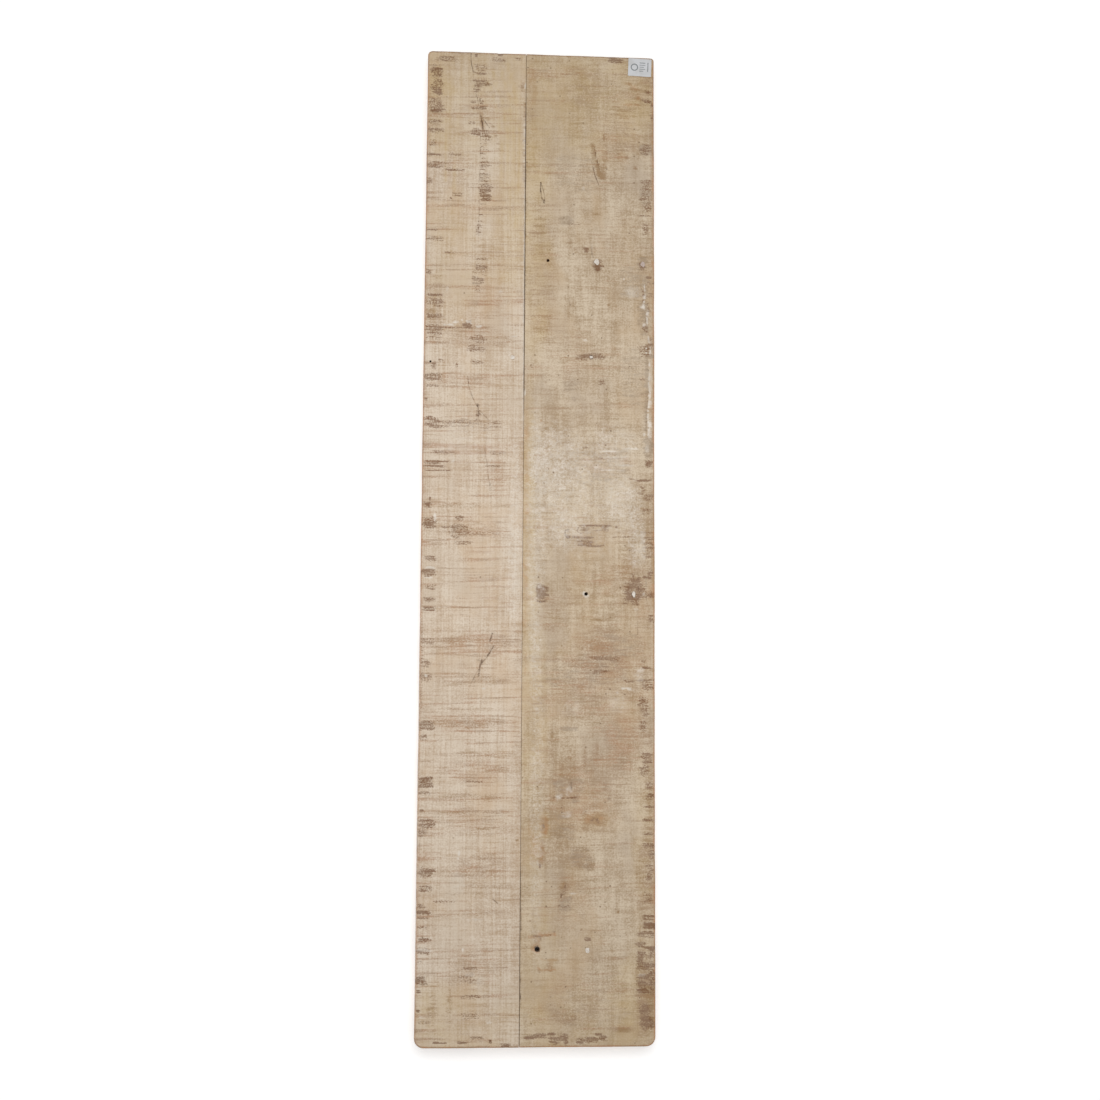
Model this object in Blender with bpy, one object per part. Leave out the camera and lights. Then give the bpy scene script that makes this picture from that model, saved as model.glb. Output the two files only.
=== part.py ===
"""Reclaimed scaffold plank: two old softwood boards joined edge to edge.

Units are metres and +Z is up. The plank lies flat with its worn face up. The origin is
at the middle of the underside, +Y runs along the length and +X runs across it, from the
narrow board to the wide one. Dowels and a film of glue hold the boards together, old
nail holes run through them, and some of the holes are stopped with filler.
"""

import math
from dataclasses import dataclass

import bmesh
import bpy
from mathutils import Matrix, Vector

# Overall sizes.
LENGTH = 1.300
THICKNESS = 0.038
NARROW_WIDTH = 0.1317
WIDE_WIDTH = 0.1723

# Rounded corners in plan, and the eased edges of the outline.
NEAR_CORNER_RADIUS = 0.012
FAR_NARROW_CORNER_RADIUS = 0.006
FAR_WIDE_CORNER_RADIUS = 0.004
ARRIS_RADIUS = 0.0025

# Clearances. Surfaces that touch on the real plank keep TOUCH_GAP here.
TOUCH_GAP = 0.0003
OVERCUT = 0.005

# Glue film in the seam, a little below both faces and inside both ends.
GLUE_THICKNESS = 0.0004
GLUE_INSET = 0.0016

# Dowels across the seam.
DOWEL_COUNT = 6
DOWEL_RADIUS = 0.005
DOWEL_LENGTH = 0.060
DOWEL_CHAMFER = 0.0012
DOWEL_END_INSET = 0.080
DOWEL_END_CLEARANCE = 0.001

# Rows of old nail holes, counted from the near end.
FIRST_NAIL_ROW = 0.1205
NAIL_ROW_PITCH = 0.4470
STRAY_NAIL_OFFSET = 0.129
FILLER_DEPTH = 0.012
FILLER_RECESS = 0.0002
FILLER_CHAMFER = 0.0005

# Paper label in the far corner of the wide board.
LABEL_WIDTH = 0.0312
LABEL_HEIGHT = 0.0246
LABEL_THICKNESS = 0.0002
LABEL_SIDE_INSET = 0.0196
LABEL_END_INSET = 0.0147
LABEL_TURN = math.radians(-2.0)

# Facets of round work.
CORNER_SEGMENTS = 6
ARRIS_SEGMENTS = 3
HOLE_SIDES = 20
DOWEL_SIDES = 24

# Places that follow from the sizes above.
SEAM_WIDTH = GLUE_THICKNESS + 2 * TOUCH_GAP
TOTAL_WIDTH = NARROW_WIDTH + SEAM_WIDTH + WIDE_WIDTH
LEFT_X = -TOTAL_WIDTH / 2
RIGHT_X = TOTAL_WIDTH / 2
NARROW_SEAM_X = LEFT_X + NARROW_WIDTH
WIDE_SEAM_X = RIGHT_X - WIDE_WIDTH
SEAM_X = (NARROW_SEAM_X + WIDE_SEAM_X) / 2
NEAR_Y = -LENGTH / 2
FAR_Y = LENGTH / 2
MIDDLE_ROW = FIRST_NAIL_ROW + NAIL_ROW_PITCH
FAR_ROW = MIDDLE_ROW + NAIL_ROW_PITCH
DOWEL_HOLE_RADIUS = DOWEL_RADIUS + TOUCH_GAP
SNAP = 1e-6
MERGE = 3e-5


@dataclass(frozen=True)
class NailHole:
    """A hole right through a board, measured inwards from one of the board's long edges."""

    board: str
    edge: str
    inset: float
    along: float
    radius: float
    filled: bool

    def x(self):
        """Return the hole's X, from the edge that it is measured from."""
        if self.edge == "outer":
            return LEFT_X + self.inset if self.board == "narrow" else RIGHT_X - self.inset
        return NARROW_SEAM_X - self.inset if self.board == "narrow" else WIDE_SEAM_X + self.inset

    def y(self):
        """Return the hole's Y, from its distance to the near end."""
        return NEAR_Y + self.along


NAIL_HOLES = (
    NailHole("narrow", "outer", 0.0092, FAR_ROW - STRAY_NAIL_OFFSET - 0.0100, 0.00125, False),
    NailHole("narrow", "seam", 0.0148, FAR_ROW - STRAY_NAIL_OFFSET - 0.0023, 0.0024, True),
    NailHole("wide", "seam", 0.0213, FIRST_NAIL_ROW + 0.0007, 0.0031, False),
    NailHole("wide", "seam", 0.0853, FIRST_NAIL_ROW - 0.0008, 0.0026, True),
    NailHole("wide", "seam", 0.0820, MIDDLE_ROW + 0.0047, 0.0022, False),
    NailHole("wide", "outer", 0.0278, MIDDLE_ROW + 0.0053, 0.0026, True),
    NailHole("wide", "seam", 0.0883, FAR_ROW - STRAY_NAIL_OFFSET + 0.0003, 0.0022, True),
    NailHole("wide", "seam", 0.0302, FAR_ROW + 0.0006, 0.0018, False),
    NailHole("wide", "seam", 0.0953, FAR_ROW + 0.0008, 0.0026, True),
    NailHole("wide", "outer", 0.0156, FAR_ROW - 0.0006, 0.0024, True),
)


def clear_scene():
    """Remove every object that the file starts with."""
    for old in list(bpy.data.objects):
        bpy.data.objects.remove(old, do_unlink=True)


def make_material(name, colour, roughness):
    """Return a plain Principled BSDF material."""
    material = bpy.data.materials.new(name)
    material.use_nodes = True
    shader = material.node_tree.nodes["Principled BSDF"]
    shader.inputs["Base Color"].default_value = (*colour, 1.0)
    shader.inputs["Roughness"].default_value = roughness
    shader.inputs["Metallic"].default_value = 0.0
    return material


def finish_object(name, bm, material, location=(0, 0, 0), turn=0.0):
    """Turn a bmesh into a named object in the scene and shade it."""
    bmesh.ops.recalc_face_normals(bm, faces=bm.faces)
    mesh = bpy.data.meshes.new(name)
    bm.to_mesh(mesh)
    bm.free()
    mesh.shade_smooth()
    mesh.set_sharp_from_angle(angle=math.radians(35))
    piece = bpy.data.objects.new(name, mesh)
    piece.location = location
    piece.rotation_euler = (0, 0, turn)
    if material is not None:
        mesh.materials.append(material)
    bpy.context.scene.collection.objects.link(piece)
    return piece


def block(bm, low, high):
    """Add a box between two corners and return its vertices."""
    low = Vector(low)
    high = Vector(high)
    size = high - low
    place = Matrix.Translation((low + high) / 2) @ Matrix.Diagonal((*size, 1.0))
    return bmesh.ops.create_cube(bm, size=1.0, matrix=place)["verts"]


def rod(bm, radius, depth, sides, centre, axis="Z"):
    """Add a closed cylinder of the given depth, centred on a point, along X or Z."""
    turn = Matrix.Rotation(math.radians(90), 4, "Y") if axis == "X" else Matrix.Identity(4)
    return bmesh.ops.create_cone(
        bm,
        cap_ends=True,
        segments=sides,
        radius1=radius,
        radius2=radius,
        depth=depth,
        matrix=Matrix.Translation(centre) @ turn,
    )["verts"]


def bevel(bm, edges, width, segments):
    """Round or chamfer some edges of a bmesh."""
    bmesh.ops.bevel(
        bm,
        geom=edges,
        offset=width,
        offset_type="OFFSET",
        segments=segments,
        profile=0.5,
        affect="EDGES",
        clamp_overlap=True,
        material=-1,
    )


def edges_where(bm, test):
    """Return the edges whose two ends both pass a test of their position."""
    return [edge for edge in bm.edges if all(test(vertex.co) for vertex in edge.verts)]


def on_face(point):
    """Say whether a point lies on the plank's top or underside."""
    return abs(point.z) < SNAP or abs(point.z - THICKNESS) < SNAP


def make_cutter(name, holes):
    """Make the tool that drills one board: its nail holes and its halves of the dowel holes."""
    bm = bmesh.new()
    for hole in holes:
        centre = (hole.x(), hole.y(), THICKNESS / 2)
        rod(bm, hole.radius, THICKNESS + 2 * OVERCUT, HOLE_SIDES, centre)
    for y in dowel_rows():
        depth = DOWEL_LENGTH + 2 * DOWEL_END_CLEARANCE
        rod(bm, DOWEL_HOLE_RADIUS, depth, DOWEL_SIDES, (SEAM_X, y, THICKNESS / 2), "X")
    cutter = finish_object(name, bm, None)
    cutter.hide_render = True
    cutter.display_type = "WIRE"
    return cutter


def drill(board, cutter):
    """Cut a board with its drilling tool."""
    cut = board.modifiers.new("drill", "BOOLEAN")
    cut.operation = "DIFFERENCE"
    cut.solver = "EXACT"
    cut.object = cutter


def make_board(name, outer_x, seam_x, far_radius, material):
    """Make one board: rounded outer corners, eased edges and square edges at the seam."""
    bm = bmesh.new()
    low = (min(outer_x, seam_x), NEAR_Y, 0)
    high = (max(outer_x, seam_x), FAR_Y, THICKNESS)
    block(bm, low, high)
    for end_y, radius in ((NEAR_Y, NEAR_CORNER_RADIUS), (FAR_Y, far_radius)):
        corner = edges_where(
            bm, lambda p: abs(p.x - outer_x) < SNAP and abs(p.y - end_y) < SNAP
        )
        bevel(bm, corner, radius, CORNER_SEGMENTS)

    outline = [
        edge
        for edge in edges_where(bm, on_face)
        if not all(abs(vertex.co.x - seam_x) < SNAP for vertex in edge.verts)
    ]
    bevel(bm, outline, ARRIS_RADIUS, ARRIS_SEGMENTS)
    bmesh.ops.remove_doubles(bm, verts=bm.verts, dist=MERGE)
    return finish_object(name, bm, material)


def dowel_rows():
    """Return the Y of each dowel, evenly spaced between the two end dowels."""
    first = NEAR_Y + DOWEL_END_INSET
    step = (LENGTH - 2 * DOWEL_END_INSET) / (DOWEL_COUNT - 1)
    return [first + step * index for index in range(DOWEL_COUNT)]


def make_glue_line(material):
    """Make the glue film that fills the seam, with a hole for each dowel."""
    bm = bmesh.new()
    half = GLUE_THICKNESS / 2
    block(
        bm,
        (SEAM_X - half, NEAR_Y + GLUE_INSET + ARRIS_RADIUS, GLUE_INSET),
        (SEAM_X + half, FAR_Y - GLUE_INSET - ARRIS_RADIUS, THICKNESS - GLUE_INSET),
    )
    film = finish_object("glue_line", bm, material)
    holes = bmesh.new()
    for y in dowel_rows():
        centre = (SEAM_X, y, THICKNESS / 2)
        rod(holes, DOWEL_HOLE_RADIUS, GLUE_THICKNESS + 2 * OVERCUT, DOWEL_SIDES, centre, "X")
    cutter = finish_object("glue_line_cutter", holes, None)
    cutter.hide_render = True
    cutter.display_type = "WIRE"
    drill(film, cutter)


def make_dowels(material):
    """Make the dowels, each a rod with chamfered ends lying across the seam."""
    for number, y in enumerate(dowel_rows(), start=1):
        bm = bmesh.new()
        rod(bm, DOWEL_RADIUS, DOWEL_LENGTH, DOWEL_SIDES, (0, 0, 0), "X")
        rims = [edge for edge in bm.edges if abs(edge.verts[0].co.x - edge.verts[1].co.x) < SNAP]
        bevel(bm, rims, DOWEL_CHAMFER, 1)
        finish_object(f"dowel_{number}", bm, material, (SEAM_X, y, THICKNESS / 2))


def make_fillers(material):
    """Make a plug of filler in the top of each stopped nail hole."""
    stopped = [hole for hole in NAIL_HOLES if hole.filled]
    for number, hole in enumerate(stopped, start=1):
        bm = bmesh.new()
        rod(bm, hole.radius - TOUCH_GAP, FILLER_DEPTH, HOLE_SIDES, (0, 0, 0))
        rims = [edge for edge in bm.edges if abs(edge.verts[0].co.z - edge.verts[1].co.z) < SNAP]
        bevel(bm, rims, FILLER_CHAMFER, 1)
        height = THICKNESS - FILLER_RECESS - FILLER_DEPTH / 2
        finish_object(f"hole_filler_{number}", bm, material, (hole.x(), hole.y(), height))


def make_label(material):
    """Make the blank paper label that lies on the wide board."""
    bm = bmesh.new()
    half = Vector((LABEL_WIDTH / 2, LABEL_HEIGHT / 2, LABEL_THICKNESS / 2))
    block(bm, -half, half)
    height = THICKNESS + TOUCH_GAP + LABEL_THICKNESS / 2
    place = (RIGHT_X - LABEL_SIDE_INSET, FAR_Y - LABEL_END_INSET, height)
    finish_object("paper_label", bm, material, place, LABEL_TURN)


def main():
    """Build the whole plank."""
    clear_scene()
    narrow_wood = make_material("pale_reclaimed_wood", (0.56, 0.44, 0.31), 0.75)
    wide_wood = make_material("tan_reclaimed_wood", (0.45, 0.34, 0.22), 0.75)
    beech = make_material("beech", (0.62, 0.44, 0.27), 0.6)
    glue = make_material("dried_glue", (0.20, 0.13, 0.07), 0.5)
    filler = make_material("white_filler", (0.78, 0.76, 0.72), 0.8)
    paper = make_material("label_paper", (0.82, 0.83, 0.85), 0.6)

    narrow = make_board(
        "narrow_board", LEFT_X, NARROW_SEAM_X, FAR_NARROW_CORNER_RADIUS, narrow_wood
    )
    wide = make_board("wide_board", RIGHT_X, WIDE_SEAM_X, FAR_WIDE_CORNER_RADIUS, wide_wood)
    for board, side in ((narrow, "narrow"), (wide, "wide")):
        holes = [hole for hole in NAIL_HOLES if hole.board == side]
        drill(board, make_cutter(f"{side}_board_cutter", holes))
    make_glue_line(glue)
    make_dowels(beech)
    make_fillers(filler)
    make_label(paper)


if __name__ == "__main__":
    main()
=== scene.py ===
"""Looks of a reclaimed scaffold plank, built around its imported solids.

The plank lies flat with its worn face up: +Y runs along it and +X across it, from the
narrow board to the wide one. Object sizes are in metres, as in the frame. Marks on the
worn face are given in millimetres, measured from the plank's left edge and near end.
"""

import logging
import math
from dataclasses import dataclass, field
from enum import Enum

import bmesh
import bpy
import numpy as np
from mathutils import Euler, Matrix, Vector


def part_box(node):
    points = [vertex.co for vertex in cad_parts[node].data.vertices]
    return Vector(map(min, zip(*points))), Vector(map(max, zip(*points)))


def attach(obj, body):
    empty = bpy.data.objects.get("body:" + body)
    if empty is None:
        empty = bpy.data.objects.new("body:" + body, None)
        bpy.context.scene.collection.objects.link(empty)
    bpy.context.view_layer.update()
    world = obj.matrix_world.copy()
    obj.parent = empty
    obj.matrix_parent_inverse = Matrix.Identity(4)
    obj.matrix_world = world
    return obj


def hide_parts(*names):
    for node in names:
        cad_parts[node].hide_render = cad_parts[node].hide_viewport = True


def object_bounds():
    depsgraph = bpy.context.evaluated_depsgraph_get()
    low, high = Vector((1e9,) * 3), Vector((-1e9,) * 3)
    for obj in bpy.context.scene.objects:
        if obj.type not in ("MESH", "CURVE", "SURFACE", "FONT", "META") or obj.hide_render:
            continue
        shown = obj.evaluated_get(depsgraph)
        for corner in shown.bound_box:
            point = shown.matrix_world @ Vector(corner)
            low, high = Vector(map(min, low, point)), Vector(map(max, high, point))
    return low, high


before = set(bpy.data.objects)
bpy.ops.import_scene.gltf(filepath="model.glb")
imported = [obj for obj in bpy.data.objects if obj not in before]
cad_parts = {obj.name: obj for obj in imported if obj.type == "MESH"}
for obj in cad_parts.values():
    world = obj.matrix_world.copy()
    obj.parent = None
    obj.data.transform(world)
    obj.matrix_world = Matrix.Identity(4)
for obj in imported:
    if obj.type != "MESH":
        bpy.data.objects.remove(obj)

LOG = logging.getLogger("plank")
MM = 0.001
CAD_BOUNDS = [list(corner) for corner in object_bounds()]
LEFT_EDGE = CAD_BOUNDS[0][0]
NEAR_END = CAD_BOUNDS[0][1]
FACE_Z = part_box("wide_board")[1][2]
SEAM_GAP = (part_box("wide_board")[0][0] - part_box("narrow_board")[1][0]) / MM


# ---------------------------------------------------------------- marks on the wood


class Tone(Enum):
    """What darkens or lightens the wood; each value names the mesh attribute that holds it."""

    HONEY = "honey"
    DIRT = "dirt"
    UMBER_AND_SHADE = "umber_and_shade"
    RUST = "rust"
    GREY = "grey"
    CHALK_AND_LIGHT = "chalk_and_light"
    SAW = "saw"
    CRACK_AND_SHADE = "crack_and_shade"
    ARRIS = "arris"


@dataclass(frozen=True)
class Patch:
    """A patch of one tone.

    Args:
        tone: What the patch is made of.
        x: Middle of the patch from the plank's left edge, in millimetres.
        y: Middle of the patch from the plank's near end, in millimetres.
        half_x: Half the patch's width, in millimetres.
        half_y: Half the patch's length along the plank, in millimetres.
        strength: How much of the tone there is, from 0 to 1.
    """

    tone: Tone
    x: float
    y: float
    half_x: float
    half_y: float
    strength: float


@dataclass(frozen=True)
class Stroke:
    """A narrow line of one tone along a few points, which may also be cut into the wood.

    Args:
        tone: What the line is made of.
        points: The line's points in millimetres, from the left edge and the near end.
        width: How far from its middle the line fades, in millimetres.
        strength: How much of the tone there is, from 0 to 1.
        depth: How deep the line is cut, in millimetres.
    """

    tone: Tone
    points: tuple
    width: float
    strength: float
    depth: float


@dataclass(frozen=True)
class Dent:
    """A crushed hollow in the face: its middle, its half sizes and its depth in millimetres."""

    x: float
    y: float
    half_x: float
    half_y: float
    depth: float


@dataclass(frozen=True)
class NailHole:
    """An old nail hole: its middle and its radius in millimetres."""

    x: float
    y: float
    radius: float


def patches(tone: Tone, *rows: tuple) -> list:
    """Return one Patch of a tone for each row of x, y, half x, half y and strength in percent."""
    return [Patch(tone, *place, percent / 100) for *place, percent in rows]


def strokes(tone: Tone, *rows: tuple) -> list:
    """Return one Stroke of a tone for each row of width, percent, depth and then its points."""
    return [
        Stroke(tone, tuple(points), width, percent / 100, depth)
        for width, percent, depth, *points in rows
    ]


def saw_lines(*rows: tuple) -> list:
    """Return one cross-wise Stroke for each row of y, first x, last x, percent and any rise."""
    return [
        Stroke(Tone.SAW, ((first, y), (last, y + sum(rise))), 0.75, percent / 100, percent / 1000)
        for y, first, last, percent, *rise in rows
    ]


def crushed_rays(x: float, y: float, reaches: tuple, wide: float) -> list:
    """Return short dark strokes that run out from a crushed middle like a star.

    Args:
        x: Middle of the star from the left edge, in millimetres.
        y: Middle of the star from the near end, in millimetres.
        reaches: How far each ray reaches, in millimetres, in order round the star.
        wide: How much wider than long the star is.

    Returns:
        Two strokes of dirt for each reach, the second one shorter.
    """
    rays = []
    for count in range(2 * len(reaches)):
        reach = reaches[count // 2] * (1.0 if count % 2 == 0 else 0.78)
        turn = math.tau * count / (2 * len(reaches))
        out_x = math.cos(turn) * wide
        out_y = math.sin(turn)
        start = (x + 0.45 * reach * out_x, y + 0.45 * reach * out_y)
        end = (x + reach * out_x, y + reach * out_y)
        rays.append(Stroke(Tone.DIRT, (start, end), 0.9, 0.85, 0.25))
    return rays


def comb(x: float, y: float, reach: float, rises: tuple) -> list:
    """Return short dark strokes across the board, one for each rise above y."""
    return [
        Stroke(Tone.DIRT, ((x, y + rise), (x + reach, y + rise)), 0.8, 0.9, 0.3) for rise in rises
    ]


def torn_grain(*rows: tuple) -> list:
    """Return one short dark Stroke off the split for each row of x, y, reach and percent."""
    return [
        Stroke(Tone.DIRT, ((x, y), (x + 0.6 * reach, y + 0.8), (x + reach, y)), 0.7, percent / 100, 0.2)
        for x, y, reach, percent in rows
    ]


NARROW_MARKS = [
    *patches(
        Tone.DIRT,
        (26, 1289, 13, 3.5, 75), (13, 1272, 9, 8.5, 55), (14, 1252, 8, 9, 55), (16, 1243, 5, 5, 75),
        (12, 1224, 9.5, 10, 75), (11, 1202, 10, 3, 60), (13, 1190, 12, 3.5, 65), (8, 1172, 5, 4, 35),
        (11, 1156, 11, 1.6, 50), (38, 1157, 8, 2, 50), (15, 1142, 14, 4, 50), (38, 1136, 12, 2.5, 40),
        (4.5, 1120, 3, 4, 70), (42, 1102, 8, 2.5, 40), (33, 1097, 1.4, 1.4, 60), (10, 1053, 8, 1.6, 50),
        (12, 1041, 12, 3, 50), (71, 1276, 9, 8, 40), (70, 1260, 13, 1.4, 65), (76, 1255, 9, 2.4, 50),
        (66, 1250, 4, 6, 60), (68, 1222, 9, 2, 60), (76, 1222, 4, 2.4, 50), (62, 1231, 4, 3, 45),
        (73, 1232, 3, 4, 45), (60, 1201, 5, 2, 50), (65, 1189, 6, 4.5, 70), (76, 1189, 6, 3, 55),
        (80, 1179, 7, 6, 30), (78, 1145, 7, 5, 30), (78, 1112, 8, 7, 42), (80, 1099, 7, 5, 50),
        (70, 1055, 3, 8, 40), (97, 1298, 4, 2.4, 85), (94, 1290, 10, 3, 45), (120, 1292, 4, 3, 40),
        (65, 1295, 2, 2, 70), (32, 1023, 6, 1.6, 45), (75, 1015, 9, 1.6, 50), (6, 996, 4, 4, 45),
        (74, 1001, 8, 8, 40), (70, 986, 8, 5, 45), (71, 974, 6, 5, 40), (14, 965, 11, 1.4, 60),
        (14, 956, 11, 5.5, 55), (14, 937, 11, 3.5, 55), (12, 920, 11, 5, 65), (57, 926, 5, 5.5, 90),
        (14, 913, 11, 2, 50), (14, 907, 11, 2, 45), (70, 907, 11, 4.5, 55), (70, 894, 13, 5, 50),
        (70, 876, 8, 3, 55), (14, 871, 3.5, 5, 65), (23, 878, 3, 3, 40), (44, 871, 1.5, 3, 50),
        (13, 856, 12, 5.5, 60), (12, 843, 10, 2, 45), (4, 825, 2, 1.8, 80), (12, 796, 11, 6, 60),
        (55, 793, 48, 7, 36), (72, 808, 3, 5, 50), (28, 755, 17, 3, 45), (98, 755, 10, 3, 40),
        (13, 742, 11, 2, 75), (20, 737, 11, 1.6, 60), (92, 738, 10, 1.5, 45), (8, 685, 4.5, 3.5, 80),
        (11, 694, 1.5, 2.5, 60), (11, 663, 9, 8, 65), (50, 669, 5, 3, 60), (50, 653, 13, 8, 42),
        (55, 638, 12, 3, 40), (75, 650, 30, 2.4, 30), (13, 616, 8, 3.5, 70), (11, 598, 9, 5.5, 75),
        (13, 580, 6, 4, 45), (12, 563, 8, 3.5, 65), (11, 551, 9, 3, 55), (11, 510, 8, 4, 45),
        (10, 480, 4.5, 5, 60), (9, 463, 7, 6, 50), (11, 401, 11, 5.5, 65), (6, 386, 5, 4, 60),
        (10, 335, 10, 1.8, 75), (10, 328, 9, 5.5, 65), (10, 315, 8, 3, 40), (6, 294, 3, 2, 75),
        (12, 278, 11, 5, 55), (7, 268, 6, 4, 40), (5, 262, 3, 2, 50), (12, 217, 10, 6.5, 62),
        (12, 197, 8, 4, 55), (36, 181, 13, 2, 50), (6, 175, 4, 3, 60), (10, 167, 9, 3, 80),
        (8, 160, 7, 1.2, 75), (8, 149, 6, 2, 35), (12, 133, 8, 2.6, 65), (10, 120, 9, 4.5, 55),
        (8, 84, 7, 6.5, 60), (67, 85, 10, 6, 42), (69, 98, 10, 1.6, 65), (4, 70, 2, 2, 70),
        (4, 46, 2, 2, 80), (12, 32, 8, 2, 45), (28, 7, 4, 1.4, 85), (37, 7, 5, 0.9, 80),
        (62, 7, 6, 1.6, 80), (79, 13, 8, 1.6, 60), (96, 8, 1.6, 2, 100), (116, 3, 5.5, 3, 100),
        (3, 480, 1.2, 60, 40), (70, 40, 14, 5, 30), (70, 62, 12, 3, 35), (5, 107, 4, 3, 35),
    ),
    *patches(
        Tone.GREY,
        (13, 856, 11, 6, 50), (10, 328, 9, 6, 55), (8, 84, 7, 6, 60), (11, 663, 10, 8, 50),
        (50, 652, 12, 8, 60), (75, 275, 2, 2, 10), (12, 551, 9, 3, 60), (11, 402, 10, 5, 60),
        (10, 480, 4, 5, 50), (70, 985, 8, 6, 35), (79, 1120, 8, 16, 35), (13, 1272, 9, 8, 30),
    ),
    *patches(
        Tone.UMBER_AND_SHADE,
        # The first patch on the next row is broad and faint and darkens the far end of the board.
        (66, 1275, 90, 30, 12), (12, 1230, 12, 50, 30), (15, 950, 14, 60, 30), (128, 257, 2.2, 2.2, 90),
        (100, 905, 18, 8, 30), (60, 510, 66, 5, 30), (70, 460, 62, 9, 30), (70, 365, 60, 4, 32),
        (75, 311, 52, 6, 30), (95, 347, 26, 5, 30), (60, 422, 60, 4, 26), (60, 404, 60, 6, 30),
        (70, 216, 56, 7, 30), (95, 235, 25, 5, 35), (92, 200, 34, 5, 35), (80, 166, 50, 4, 30),
        (60, 292, 60, 2.5, 35), (90, 270, 35, 5, 35), (105, 550, 18, 12, 15), (60, 686, 60, 4, 35),
        (60, 654, 60, 12, 25), (100, 500, 26, 10, 15), (24, 45, 8, 35, 25), (44, 50, 4, 30, 35),
        (127, 1253, 3, 7, 60), (74, 1203, 2.2, 9, 90), (74, 190, 60, 3, 20),
    ),
    *patches(
        Tone.HONEY,
        (66, 1250, 110, 120, 42), (12, 1235, 26, 80, 42), (118, 1120, 22, 170, 36), (60, 30, 110, 70, 22),
        (20, 40, 26, 44, 20), (60, 1040, 100, 90, 22), (60, 830, 90, 110, 10), (30, 950, 30, 60, 15),
        (70, 250, 90, 140, 10),
    ),
    *patches(
        Tone.CHALK_AND_LIGHT,
        (34, 925, 7, 1.5, 85), (42, 929, 4, 2, 70), (59, 930, 4, 2, 70), (73, 923, 4, 1.5, 60),
        (100, 971, 3, 1.6, 70), (119, 911, 4, 1.6, 75), (113, 890, 2, 6, 40), (14, 604, 6, 1.6, 95),
        (18, 670, 2, 4, 70), (9, 465, 2.4, 2.4, 70), (54, 241, 1.5, 4, 80), (61, 121, 1.8, 3, 80),
        (10, 121, 9, 2.5, 50), (70, 90, 8, 3, 40), (82, 80, 2, 12, 40), (20, 120, 3, 2, 40),
        # Painted highlight: the last patch on the next row, a long pale line down the narrow board's seam
        # edge from about 780 to 1220 mm, stands for light caught on the rounded edge.
        (131, 1255, 1.4, 4, 90), (130.6, 1185, 1.2, 25, 60), (131.2, 1000, 1.0, 220, 60),
        (83, 449, 3, 1.2, 60), (10, 38, 4, 2, 50), (94, 33, 4, 3, 40), (30, 973, 2, 4, 40),
        # The first three patches on the next row are broad and faint and lighten the middle of the board:
        # partly paler wood and partly painted light over the middle of the plank.
        (122, 660, 9, 150, 26), (60, 768, 62, 42, 17), (95, 600, 30, 130, 13), (52, 205, 14, 20, 20),
        (40, 744, 2.5, 2, 50), (75, 158, 12, 2, 35), (18, 900, 2, 100, 15), (0.5, 300, 0.9, 260, 70),
    ),
    *patches(
        Tone.SAW,
        (70, 345, 56, 20, 34), (70, 405, 60, 16, 30), (60, 505, 66, 14, 25), (70, 655, 50, 20, 20),
        (95, 730, 18, 26, 26), (40, 736, 34, 12, 12), (70, 285, 56, 22, 30), (80, 225, 46, 18, 32),
        (70, 90, 46, 26, 25), (40, 1140, 30, 30, 25), (60, 915, 50, 14, 30), (50, 850, 46, 16, 30),
    ),
    *saw_lines(
        (1088, 2, 66, 60), (1117, 20, 66, 30), (972, 3, 32, 60), (922, 3, 84, 90), (917, 24, 84, 50),
        (935, 60, 112, 45), (860, 28, 84, 50), (854, 10, 84, 40), (848, 3, 96, 45), (842, 5, 80, 30),
        (813, 60, 112, 35), (743, 3, 108, 90), (738, 8, 28, 70), (732, 3, 38, 60), (732, 84, 104, 45),
        (727, 86, 106, 35), (720, 84, 109, 65), (720, 20, 60, 25), (706, 88, 128, 55), (688, 34, 124, 40),
        (671, 3, 112, 55), (665, 30, 112, 50), (657, 22, 36, 80), (657, 36, 114, 50), (652, 3, 116, 70),
        (648, 3, 116, 55), (644, 90, 116, 45), (618, 20, 112, 25), (604, 20, 122, 60), (599, 22, 122, 30),
        (595, 24, 118, 40), (582, 20, 128, 30), (565, 22, 122, 40), (560, 22, 122, 25), (554, 3, 122, 85),
        (549, 10, 110, 35), (544, 24, 118, 30), (523, 3, 130, 60), (512.5, 3, 129, 90), (509, 10, 129, 60),
        (504.5, 6, 129, 50), (499, 20, 100, 30), (480, 10, 110, 40), (468, 1, 130, 80), (464, 20, 100, 40),
        (458, 3, 130, 45), (452, 20, 90, 35), (432, 28, 112, 30), (422, 3, 130, 40), (414, 3, 124, 45),
        (407, 3, 112, 70), (400, 24, 130, 40), (395, 48, 130, 65), (384, 12, 130, 40), (366, 24, 130, 30),
        (361, 100, 131, 50, -1), (351, 60, 118, 35), (345, 90, 122, 50), (336, 22, 120, 45),
        (331, 64, 82, 85), (331, 82, 118, 55), (325.5, 64, 122, 50), (316, 10, 130, 40), (311, 24, 120, 35),
        (306, 20, 120, 30), (293.5, 3, 130, 65), (282, 3, 86, 55), (273, 3, 130, 40), (268, 12, 120, 35),
        (248, 4, 60, 25), (242, 60, 130, 45, -1.5), (235, 90, 130, 35), (223, 3, 120, 50),
        (218, 20, 120, 50), (212.5, 10, 128, 55), (203, 70, 128, 30), (199, 56, 110, 35),
        (181, 22, 110, 45), (169.5, 3, 118, 65), (165, 30, 110, 35), (160, 20, 44, 35), (133.5, 4, 58, 60),
        (122, 3, 110, 35), (117, 56, 124, 40, 4), (113, 60, 76, 60), (103, 60, 112, 45),
        (98.5, 62, 118, 65), (89, 8, 72, 40), (83, 10, 112, 35), (72, 60, 80, 35), (52, 50, 90, 35),
        (40, 10, 128, 35), (35.5, 3, 72, 55), (35.5, 76, 128, 35), (31, 10, 90, 35), (18, 40, 130, 40),
    ),
    *strokes(
        Tone.CRACK_AND_SHADE,
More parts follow.
